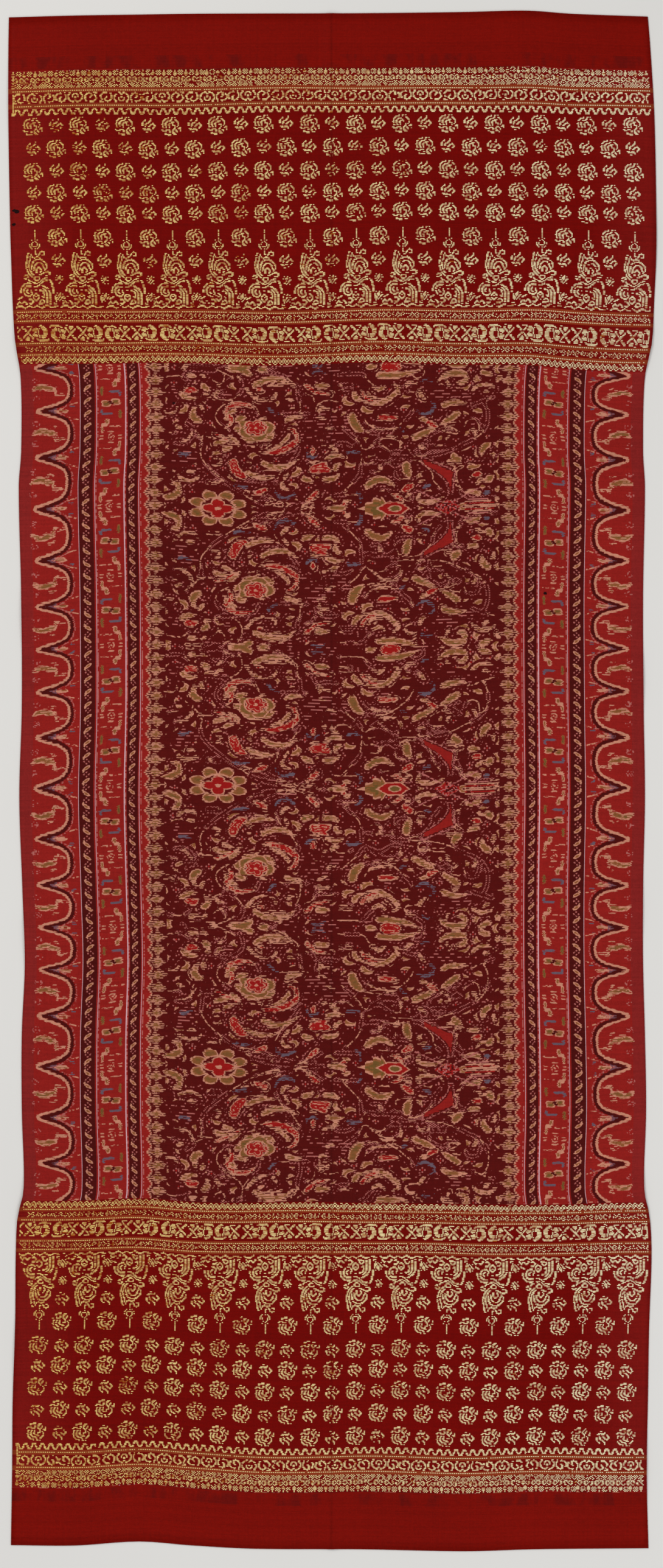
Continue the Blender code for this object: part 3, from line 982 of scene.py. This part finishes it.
def silkMaterial(group):
    material, tree, shader = newMaterial("wovenSilk", silk["roughness"], 0.0)
    weave = Weave(tree)
    for dyeLayer in (
        dyeStripes, dyeScallops, dyeDarkStripes, dyeRedStripe, dyeSerratedEdge, dyeDots, dyeCommas,
        dyeStems, dyeLeaves, dyeMedallion, dyeRose, dyeBud, dyeDiamond, dyeEnds
    ):
        dyeLayer(weave)

    # threads, and how the dye and the light vary over the cloth, with painted shade along the centre
    # crease
    tone, height = threadNodes(tree, group, weave.down / silk["rowSteps"], weave.x)
    clouds = cloudy(tree, 5.0, 4.0)
    streaks = cloudy(tree, 1.0, 3.0, (320, 6, 1))
    light = tone * 0.2 + weave.chance(1.7, 6.0) * 0.14 + clouds * 0.3 + streaks * 0.22 + 0.55
    # painted shade: the cloth is darkened along the centre crease
    light = light - (abs(weave.x - silk["creaseX"]) / -3.5 + 1).more(0) * 0.2
    scale = tree.nodes.new("ShaderNodeVectorMath")
    scale.operation = "SCALE"
    plug(tree, weave.colour, scale.inputs[0])
    plug(tree, light, scale.inputs["Scale"])
    tree.links.new(scale.outputs[0], shader.inputs["Base Color"])
    bump(tree, shader, height, silk["ribHeight"])
    return material


# The gold weft of the ends, charted in cells of one float's shortest length by one row. The
# chart is of the upper end, with row 0 next to the plain tail, and the lower end mirrors it.
# widening is what a row of the inner band has over the others.
RowLayout = namedtuple("RowLayout", "firstDown step widening")
brocade = {
    "columns": 588,
    "rows": 270,
    "upper": RowLayout(91.0, 1.8, 0.07),
    "lower": RowLayout(2435.0, -1.77, 0.0),
    "wideFrom": 220,          # the first row of the inner band
    "margin": 3,              # cells left plain beside each selvedge
    "longest": 4,             # cells to a float before it's bound down
    "width": 0.00168,         # metres, of each float
    "height": 0.00024,
    "sunk": 0.00012,
    "flowerPitch": 20.98,
    "firstFlower": 22.2,
    "flowerRows": (51, 71.7, 93.3, 113, 131.7),
    "tumpalRow": 147,
    "strips": (               # rows with an orange weft under the lines of dots
        (15.8, 20.1), (30.3, 34.6), (220.3, 223.6), (229.2, 232.4), (249.2, 252.9), (258.6, 262.3)
    ),
    "wear": 0.05,             # share of the floats that are lost
    "dotRows": (18, 32, 222, 230, 250, 260),
    "tickRow": 35,            # ticks over the crests of the wave in the border
    "waveRow": 37.2,
    "waveReach": 2.2,
    "wavePitch": 7.8,
    "flowerColumns": 27,
    "overhang": 0.12,         # cells by which a float reaches past its own
    "parts": (("Border", 0, 42), ("Field", 42, 146), ("Inner", 146, 271)),
}

tinyFlower = """
    ..#..#...
    ....##.#.
    .#.###...
    ...###.##
    .##.#.##.
    ...#..#..
    ..##.#...
    ....#..#.
"""

smallScroll = """
    #...##...#...
    .#.#..#.#.#.#
    ..##.#..##..#
    .#.#..#..#.#.
    #...##...#...
"""

edging = """
    #....#
    .#..#.
    #.##.#
    #.##.#
    .#..#.
    ..##..
"""

spires = """
    ..#...#.#.
    ..#..#.#.#
    .###..#.#.
    .###.#.#.#
    .###..#.#.
    ..#.......
    #...##...#
    .#.#.##.##
    ..#..##.##
    .#.#.##.##
    ##.###...#
    ..#...#.#.
    #.#.#..#..
    .#.#..#.#.
    ..#.##.#.#
    .#.#..#.#.
"""

# strokes of a chart: the width, and the points that it runs through, as (column, row)
flowerStrokes = [
    (1.4, [(2.2, 10.6), (1.2, 7), (3, 3.4), (6.4, 2)]),
    (1.4, [(5, 10.4), (4, 7.4), (5.4, 5), (8.6, 3.8), (10, 1.2)]),
    (1.4, [(7.6, 10), (7, 7.8), (8.6, 6.4), (11, 5.4), (12.6, 2)]),
    (1.5, [(13, 3.8), (15, 5.6), (15.4, 8.4), (13.6, 11.4), (14.2, 14)]),
    (1.5, [(10.4, 8.2), (12.4, 8.6), (12.2, 11), (10.4, 13), (11.2, 15.4), (13, 16.4)]),
    (1.4, [(1, 12.6), (3, 13.6), (5.4, 12.6), (7.6, 13.2), (8.2, 15)]),
    (1.4, [(3.4, 16), (5.4, 16.2), (7, 17), (9, 17)]),
    (1.4, [(15.6, 11.6), (17, 10.4), (17.4, 13)]),
]
smallFlowerStrokes = [
    (1.3, [(1, 6.4), (1.4, 3.6), (3.6, 2)]),
    (1.4, [(3.6, 8), (4.4, 5), (7.4, 3.6), (8.4, 1)]),
    (1.4, [(6.8, 7.6), (8.6, 6), (11, 5), (12, 7.4), (10.6, 9.4)]),
    (1.4, [(2, 9.6), (4.4, 10.4), (7, 9.8), (8.4, 11.6)]),
    (1.2, [(4.4, 12.6), (6, 13)]),
]

tumpalStrokes = [
    (1.5, [(0.6, 71.6), (5, 69.8), (9.4, 71.9), (13, 70.2), (17.5, 71.6), (20.6, 70.2),
           (25, 71.9), (29.4, 69.8), (34.4, 71.6), (39.4, 70.2)]),
    (1, [(20.4, 0.3), (20.4, 3), (20.4, 6), (20.4, 8.8)]),
    (1, [(17.5, 9.5), (17.6, 9.5)]),
    (1, [(22.5, 9.5), (22.6, 9.5)]),
    (1.2, [(19.7, 10.3), (17.9, 12), (17.5, 14.3), (19, 16.4), (20, 18.2)]),
    (1.2, [(20.3, 10.3), (22, 12), (22.5, 14.3), (21.2, 16.4), (20.2, 18.2)]),
    (1, [(20, 15), (20, 15.6)]),
    (1.2, [(15.2, 13.6), (16, 15.8), (18, 18)]),
    (1.2, [(24.8, 13.6), (24, 15.8), (22, 18)]),
    (1.4, [(20.2, 20), (20.6, 21.8), (22.2, 23.8), (24, 22.8), (24.5, 21), (26.5, 20),
           (28.5, 21.1), (28.2, 23.1), (26.7, 23.8)]),
    (1.6, [(14, 21.6), (13, 24.3), (12.4, 28), (11.9, 31.8), (12.1, 35.2), (13.1, 38.9),
           (15.6, 41.9), (18.8, 44)]),
    (1.5, [(16.5, 22.5), (16, 25.5), (14.8, 29), (14, 32.8), (14.8, 36.4), (16.3, 39.5), (18, 41.6)]),
    (1.5, [(17, 36.5), (17.2, 31.6), (19.4, 28.6), (23.1, 27.3), (27, 28.6), (29.8, 31.4),
           (30.6, 34.6), (29.4, 35.6)]),
    (1.5, [(19, 37.7), (19.2, 34), (20.8, 31.4), (23.8, 30.4), (26.3, 32), (27.5, 34.3), (29, 37)]),
    (1.4, [(21.2, 39.5), (21.2, 36.4), (22.6, 34.8), (24.3, 35.4), (25.2, 37.4), (24.8, 39.2)]),
    (1.3, [(17.6, 24.8), (19.4, 26), (22, 25), (25, 26)]),
    (1.5, [(23.8, 42), (27, 40.1), (30, 39.1), (32.7, 39.5), (32.7, 41.9), (30, 42.4)]),
    (1.6, [(9.8, 42.5), (11, 41.5), (12.9, 42.5), (13.1, 44.3), (11.5, 45.2), (10, 44.3)]),
    (1.4, [(13.1, 46), (15.6, 47.4), (20.6, 49.4), (23.8, 48), (27, 45.6), (30.4, 44.6)]),
    (1.4, [(18.8, 52.4), (22, 51.8), (25, 49.4), (28.1, 47.4), (31, 47)]),
    (1.3, [(18.8, 45), (20, 43.4), (22.5, 43.4), (23.4, 45), (22.2, 46.7), (20, 46.7), (18.8, 45)]),
    (1.7, [(25.8, 51.4), (28, 52.6), (30.6, 54.6), (32.6, 57.7), (33, 63.1), (33, 68)]),
    (1.7, [(26.9, 54.6), (29.6, 58), (30.2, 63), (30.2, 67.6)]),
    (1.7, [(33, 46.7), (34.4, 48.6), (35.2, 52.2), (36.2, 55.2), (35.8, 58.6)]),
    (1.5, [(15, 49.2), (11.2, 49.4), (8.1, 51.2), (6.4, 54.2), (6.2, 57.4)]),
    (1.5, [(15, 52), (11.9, 52), (9.4, 53.6), (8.8, 56.6), (10, 59.6), (12.5, 61), (15.2, 60.7),
           (16.5, 58.3), (15.2, 56)]),
    (1.4, [(12.6, 54.8), (11.8, 56.6), (13.2, 58.3)]),
    (1.4, [(20, 55), (20, 56)]),
    (1.4, [(20, 58.5), (17.8, 60.7), (18.1, 63.7), (20, 64.9), (22.2, 63.7), (22.5, 60.7), (20, 58.5)]),
    (1.1, [(20, 61.4), (20, 62)]),
    (1.5, [(24, 56), (26.3, 57), (27.6, 59.5), (27.4, 62.5), (25.4, 61.3)]),
    (1.5, [(23.4, 65.8), (25.2, 64.6), (27.4, 65.6), (26.6, 67.6), (23, 68)]),
    (1.5, [(14, 64), (15.8, 64.4), (17.2, 66.4), (15.2, 68), (13, 67.4)]),
    (1.5, [(3.8, 63.7), (5.6, 62.5), (7.5, 61.3)]),
    (1.6, [(2.4, 68), (4.6, 66), (6.4, 67.4), (9.4, 66), (11, 68)]),
    (1.6, [(37.2, 61.9), (38, 63.7), (38.8, 66)]),
    (1.4, [(36.6, 68), (38.8, 68.6)]),
]

# half a repeat of the widest inner band, and the other half is this one turned round
bandStrokes = [
    (3.6, [(5.5, 4), (3, 6.5), (3.2, 10.5), (7, 13)]),
    (1.5, [(-1, 4), (1, 1.4), (5, 0.8), (9, 1.2), (12, 4)]),
    (3.6, [(11.5, 5.6), (13, 6.2)]),
    (4.4, [(12, 10.6), (13.6, 11)]),
    (3.8, [(19.5, 2.5), (20.6, 3)]),
    (1.6, [(15, 3), (19, 8), (24, 13)]),
    (1.6, [(23.5, 4), (19, 8), (15.5, 13)]),
    (1, [(8.5, 4), (9.3, 8), (8.8, 12)]),
    (1, [(17, 13.5), (20, 13.2)]),
    (1, [(16, 0.5), (16.8, 0.5)]),
]

scrollStrokes = [
    (1.5, [(14, 1), (12.5, 4), (14, 7.6), (17, 9), (19, 7.6)]),
    (1.5, [(24, 1), (25.5, 4), (24, 7.6), (21, 9), (19, 7.6)]),
    (1.5, [(16.4, 4.6), (17, 2.6), (19, 1.4), (21, 2.6), (21.6, 4.6)]),
    (1.2, [(19, 4), (19, 5.4)]),
    (1.5, [(29, 8.8), (27.8, 5.6), (29, 2.4), (32, 1.2), (34, 3), (32.4, 5)]),
    (1.5, [(32.6, 9), (36, 8.6), (38, 6), (36.6, 3)]),
    (1.5, [(9.4, 1), (10.6, 4.4), (9, 8), (6, 8.8), (4.6, 6.8), (6, 4.8)]),
    (1.5, [(6, 1.2), (3, 1.6), (1, 4), (2, 7)]),
    (1.2, [(36, 0.8), (38.4, 1)]),
]


def rowDown(row, end):
    # how far down the cloth a row begins
    layout = brocade[end]
    over = np.maximum(row - brocade["wideFrom"], 0)
    return layout.firstDown + row * layout.step + over * layout.widening


def charted(text):
    return np.array([[mark == "#" for mark in line] for line in text.split()])


def drawn(strokes, rows, columns):
    # a chart made of strokes, each of which leaves a gap round itself
    shape = np.zeros((rows, columns), bool)
    row, column = np.mgrid[0:rows, 0:columns]
    for width, stem in strokes:
        curve = curvePoints(stem)
        away = np.hypot(
            column[..., None] + 0.5 - curve[:, 0], row[..., None] + 0.5 - curve[:, 1]
        ).min(axis=2)
        shape[away < width * 0.54 + 0.86] = False
        shape[away < max(width * 0.5, 0.56)] = True
    return shape


def stamp(cells, wearing, shape, row, column, wear=0.0):
    # marks a chart's cells, with its upper left corner here, as far as they lie on the cloth
    rows, columns = np.nonzero(shape)
    rows, columns = rows + round(row), columns + round(column)
    last = brocade["columns"] - brocade["margin"]
    kept = (rows >= 0) & (rows < brocade["rows"])
    kept &= (columns >= brocade["margin"]) & (columns < last)
    cells[rows[kept], columns[kept]] = True
    wearing[rows[kept], columns[kept]] = wear


def tile(cells, wearing, shape, row, pitch, chance, first=0.0, turned=False, wear=0.0):
    for number in range(int(brocade["columns"] / pitch) + 2):
        motif = shape[::-1, ::-1] if turned and number % 2 else shape
        stamp(cells, wearing, motif, row, first + number * pitch, wear + chance.random() * 0.3)


def chartEnd(chance):
    # one brocaded end, and how worn each cell's motif is
    cells = np.zeros((brocade["rows"], brocade["columns"]), bool)
    wearing = np.zeros(cells.shape)
    row, column = np.mgrid[0 : brocade["rows"], 0 : brocade["columns"]]
    inside = (column >= brocade["margin"]) & (column < brocade["columns"] - brocade["margin"])
    tile(cells, wearing, charted(spires), 0, 9.8, chance, 2, wear=0.5)
    tile(cells, wearing, drawn(scrollStrokes, 10, 40), 20, 39.2, chance, -36, turned=True)
    turns = column / brocade["wavePitch"]
    wave = [
        brocade["waveRow"] - brocade["waveReach"] * np.clip(1.5 * np.cos(math.tau * turn), -1, 1)
        for turn in (turns - 0.5 / brocade["wavePitch"], turns + 0.5 / brocade["wavePitch"])
    ]
    cells |= inside & (row > np.minimum(*wave) - 0.9) & (row < np.maximum(*wave) + 0.9)
    cells |= inside & (row == brocade["tickRow"]) & (abs((turns + 0.5) % 1 - 0.5) < 0.06)
    for dotRow in brocade["dotRows"]:
        cells |= inside & (row == dotRow) & (column % 2 == 0)
    tile(cells, wearing, charted(smallScroll), 223.6, 13, chance, 3, wear=1.1)
    tile(cells, wearing, charted(smallScroll), 253, 13, chance, 9, wear=1.1)
    tile(cells, wearing, drawn(bandStrokes, 15, 25), 233.6, 25.3, chance, -18, turned=True)
    tile(cells, wearing, charted(edging), 262.4, 5.6, chance, 3)
    cells |= (row < 16) & (abs(column - brocade["margin"] - 1) < 1)
    cells |= (row > 20) & (row < 41) & (abs(column - brocade["margin"] - 1) < 1)

    large, small = drawn(flowerStrokes, 18, 18), drawn(smallFlowerStrokes, 14, 13)
    tiny = charted(tinyFlower)
    tumpal = drawn(tumpalStrokes, 73, 40)

    def place(motif, centreRow, centreColumn):
        rows, columns = motif.shape
        wear = chance.random() ** 2
        stamp(cells, wearing, motif, centreRow - rows / 2, centreColumn - columns / 2, wear)

    for i in range(brocade["flowerColumns"]):
        at = brocade["firstFlower"] + i * brocade["flowerPitch"]
        for number, centre in enumerate(brocade["flowerRows"]):
            place(small if (i + number) % 2 else large, centre, at)
        if i % 2:
            place(large, 154.4, at)
            place(small, 175.6, at)
            place(tiny, 193, at)
            place(tiny, 209, at)
        else:
            stamp(cells, wearing, tumpal, brocade["tumpalRow"], at - 20, chance.random() * 0.5)
    return cells, wearing


def floatsOf(cells, wearing, chance):
    # the floats of one end: row, first and end column, wear, and how much of it is an edge
    row, column = np.nonzero(cells)
    bound = (column + 3 * row) % brocade["longest"] == 0
    fresh = np.ones(len(row), bool)
    fresh[1:] = (row[1:] != row[:-1]) | (column[1:] != column[:-1] + 1) | bound[1:]
    first = np.flatnonzero(fresh)
    last = np.append(first[1:], len(row)) - 1
    wear = wearing[row[first], column[first]]
    roomy = np.pad(cells, 1)
    around = roomy[:-2, 1:-1] * 1 + roomy[2:, 1:-1] + roomy[1:-1, :-2] + roomy[1:-1, 2:]
    rim = 4 - (around[row[first], column[first]] + around[row[last], column[last]]) / 2
    kept = chance.random(len(first)) > brocade["wear"] * (0.3 + 2.5 * wear)
    first, last = first[kept], last[kept]
    return row[first], column[first], column[last] + 1, wear[kept], rim[kept] / 4


def floatShape():
    # one float: a low ridge with sloping ends, a unit long and wide, with its foot at 0
    bm = bmesh.new()
    bmesh.ops.create_cube(bm, size=1.0)
    bmesh.ops.translate(bm, verts=bm.verts, vec=(0, 0, 0.5))
    for vert in bm.verts:
        if vert.co.z > 0.5:
            vert.co.x *= 0.78
            vert.co.y = 0.0
    bmesh.ops.remove_doubles(bm, verts=bm.verts, dist=0.001)
    bmesh.ops.dissolve_degenerate(bm, edges=bm.edges, dist=0.001)
    bmesh.ops.recalc_face_normals(bm, faces=bm.faces)
    bm.verts.index_update()
    places = np.array([vert.co[:] for vert in bm.verts])
    lowFirst = sorted(bm.faces, key=lambda face: face.calc_center_median().z)
    faces = [[vert.index for vert in face.verts] for face in lowFirst]
    bm.free()
    return places, faces


def laySilk(surface, across, down):
    # where the cloth's upper face is at points of the chart
    x, y, guess = laidPlace(across, down)
    z = np.empty(len(x))
    for number, place in enumerate(zip(x, y)):
        hit = surface.ray_cast((*place, 0.1), (0, 0, -1))[0]
        z[number] = hit.z if hit else guess[number] + cloth["thickness"]
    return np.stack([x, y, z], 1)


def goldPiece(name, surface, floats, end):
    # all the floats of a part of one end, in one mesh
    row, first, last, wear, rim = floats
    places, faces = floatShape()
    down = rowDown(row + 0.5, end)
    left = laySilk(surface, (first - brocade["overhang"]) / brocade["columns"], down)
    right = laySilk(surface, (last + brocade["overhang"]) / brocade["columns"], down)
    share = (places[:, 0] + 0.5)[None, :, None]
    points = left[:, None] * (1 - share) + right[:, None] * share
    chance = np.random.default_rng(len(row))
    rise = brocade["height"] * chance.uniform(0.7, 1.15, len(row))
    points[:, :, 1] += places[:, 1] * brocade["width"]
    points[:, :, 2] += places[:, 2] * (rise + brocade["sunk"])[:, None] - brocade["sunk"]
    count = len(row)
    corners = np.concatenate([np.array(face) for face in faces])
    sizes = np.tile([len(face) for face in faces], count)
    loops = (corners[None, :] + np.arange(count)[:, None] * len(places)).ravel()
    mesh = bpy.data.meshes.new(name)
    mesh.vertices.add(count * len(places))
    mesh.vertices.foreach_set("co", points.astype(np.float32).ravel())
    mesh.loops.add(len(loops))
    mesh.loops.foreach_set("vertex_index", loops.astype(np.int32))
    mesh.polygons.add(len(sizes))
    mesh.polygons.foreach_set("loop_start", np.cumsum(sizes) - sizes)
    mesh.update(calc_edges=True)
    mesh.shade_smooth()
    freshnessAndHighlight = chance.normal(gilt["freshnessAndHighlight"], gilt["glowSpread"], count)
    # painted highlight: floats at the rim of a motif are made brighter; worn floats are darker
    freshnessAndHighlight += gilt["rimHighlight"] * rim - gilt["glowWear"] * wear
    setAttribute(mesh, "freshnessAndHighlight", "FLOAT", np.repeat(freshnessAndHighlight, len(places)))
    setAttribute(mesh, "chartRow", "FLOAT", np.repeat(down / silk["rowSteps"], len(places)))
    u = np.clip(points[:, :, 0] / 0.9 + 0.5, 0.002, 0.998).ravel()
    lowest, highest = points[:, :, 1].min(), points[:, :, 1].max()
    v = ((points[:, :, 1] - lowest) / (highest - lowest) * 0.99 + 0.005).ravel()
    layer = mesh.uv_layers.new(name="OFBake")
    layer.data.foreach_set("uv", np.stack([u[loops], v[loops]], 1).astype(np.float32).ravel())
    piece = bpy.data.objects.new(name, mesh)
    bpy.context.scene.collection.objects.link(piece)
    return piece


def weaveGold(clothPiece):
    # the brocade of both ends, in pieces: its bands, its flowers and its spires
    surface = BVHTree.FromObject(clothPiece, bpy.context.evaluated_depsgraph_get())
    chance = np.random.default_rng(7)
    pieces = []
    for end in ("upper", "lower"):
        cells, wearing = chartEnd(chance)
        floats = floatsOf(cells, wearing, chance)
        for partName, start, stop in brocade["parts"]:
            chosen = (floats[0] >= start) & (floats[0] < stop)
            part = [values[chosen] for values in floats]
            pieces.append(goldPiece(end + "Gold" + partName, surface, part, end))
    return pieces


gilt = {
    "roughness": 0.38,
    "metallic": 0.05,
    # bright and warm: the fresh gold's colour, whiter at the right and warmer at the left as painted
    # light
    "bright": linear(255, 249, 208),
    "warm": linear(255, 224, 128),
    # the colour of worn gold, which also serves as painted shade at the left and along the crease
    "wornAndShaded": linear(176, 98, 28),
    "freshnessAndHighlight": 0.3,              # how fresh a float looks, from worn at 0 to bright at 1, with a painted highlight added on the floats at a motif's rim
    "glowSpread": 0.26,
    "glowWear": 0.3,
    # weight of the painted highlight on the floats at a motif's rim
    "rimHighlight": 0.6,
}


def goldMaterial(group):
    material, tree, shader = newMaterial("goldThread", gilt["roughness"], gilt["metallic"])
    freshnessAndHighlight = Wire(tree, attribute(tree, "freshnessAndHighlight").outputs["Fac"])
    row = Wire(tree, attribute(tree, "chartRow").outputs["Fac"])
    x = parts(tree, tree.nodes.new("ShaderNodeTexCoord").outputs["Object"])[0]
    tone = threadNodes(tree, group, row, x / step)[0]
    # painted light: the gold is made lighter towards the right and darker towards the left
    share = freshnessAndHighlight + tone * 0.4 + cloudy(tree, 6.0) * 0.7 + x * 0.4 - 0.3
    # painted shade: the gold is darkened along the centre crease
    share = share - (abs(x + 0.001) / -0.003 + 1).more(0) * 0.5
    # painted light: the bright end of the mix turns from warm gold at the left to whiter gold at the
    # right
    fresh = overlay(tree, (x * 1.1 + 0.5).less(1).more(0), gilt["bright"], gilt["warm"])
    # the gold runs from the worn colour, which is also the painted shade, to the fresh one
    colour = overlay(tree, share.less(1).more(0), fresh, gilt["wornAndShaded"])
    plug(tree, colour, shader.inputs["Base Color"])
    return material


threads = threadRows()
clothPiece = layCloth()
clothPiece.data.materials.append(silkMaterial(threads))
print("cloth laid:", len(clothPiece.data.polygons), "faces")

goldPieces = weaveGold(clothPiece)
goldFinish = goldMaterial(threads)
for piece in goldPieces:
    piece.data.materials.append(goldFinish)
    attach(piece, "root")
    print("gold woven:", piece.name, len(piece.data.polygons), "faces")

# the floor, the lights and the camera, straight above the cloth as in the photograph
studio = {
    "photoWidth": 1090,
    "photoHeight": 2576,
    "clothCentre": (546.5, 1283.0),   # pixels, where the photograph has the cloth's middle
    "pixel": step,                    # metres of cloth to a pixel
    "lens": 85.0,
    "sensor": 36.0,
    "floorSize": 9.0,
    "floorColour": (0.78, 0.77, 0.75, 1.0),
}


def layFloor():
    bm = bmesh.new()
    bmesh.ops.create_grid(bm, x_segments=4, y_segments=4, size=studio["floorSize"] / 2)
    bmesh.ops.translate(bm, verts=bm.verts, vec=(0, 0, -0.0002))
    mesh = bpy.data.meshes.new("studioFloor")
    bm.to_mesh(mesh)
    bm.free()
    floor = bpy.data.objects.new("studioFloor", mesh)
    bpy.context.scene.collection.objects.link(floor)
    material, tree, shader = newMaterial("paleFloor", 0.8, 0.0)
    colour = overlay(
        tree, cloudy(tree, 1.5, 2.0) * 0.2, linear(205, 203, 198), studio["floorColour"]
    )
    plug(tree, colour, shader.inputs["Base Color"])
    mesh.materials.append(material)
    return floor


def addLight(name, place, size, power, colour=(1, 1, 1)):
    lamp = bpy.data.lights.new(name, "AREA")
    lamp.shape = "RECTANGLE"
    lamp.size, lamp.size_y = size
    lamp.energy = power
    lamp.color = colour
    piece = bpy.data.objects.new(name, lamp)
    piece.location = place
    away = -piece.location.normalized()
    piece.rotation_euler = away.to_track_quat("-Z", "Y").to_euler()
    bpy.context.scene.collection.objects.link(piece)


def addCamera():
    lens = bpy.data.cameras.new("overhead")
    lens.lens = studio["lens"]
    lens.sensor_width = studio["sensor"]
    lens.sensor_fit = "AUTO"
    centreX, centreY = studio["clothCentre"]
    x = (studio["photoWidth"] / 2 - centreX) * studio["pixel"]
    y = (centreY - studio["photoHeight"] / 2) * studio["pixel"]
    tall = studio["photoHeight"] * studio["pixel"]
    camera = bpy.data.objects.new("overhead", lens)
    camera.location = (x, y, studio["lens"] / studio["sensor"] * tall)
    bpy.context.scene.collection.objects.link(camera)
    bpy.context.scene.camera = camera


def lightStudio():
    world = bpy.data.worlds.new("softRoom")
    world.use_nodes = True
    world.node_tree.nodes["Background"].inputs["Color"].default_value = (1.0, 1.0, 1.0, 1.0)
    world.node_tree.nodes["Background"].inputs["Strength"].default_value = 0.42
    bpy.context.scene.world = world
    addLight("keySoftbox", (-1.8, 1.6, 3.0), (1.6, 1.6), 52, (1.0, 0.98, 0.95))
    addLight("fillSoftbox", (2.2, -0.6, 2.8), (1.8, 1.8), 32, (0.98, 0.99, 1.0))
    addLight("lowSoftbox", (-0.4, -2.6, 2.2), (2.0, 1.2), 16)
    bpy.context.scene.view_settings.view_transform = "Standard"


floor = layFloor()
lightStudio()
addCamera()
print("studio ready")

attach(clothPiece, "root")
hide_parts("shoulder_cloth")
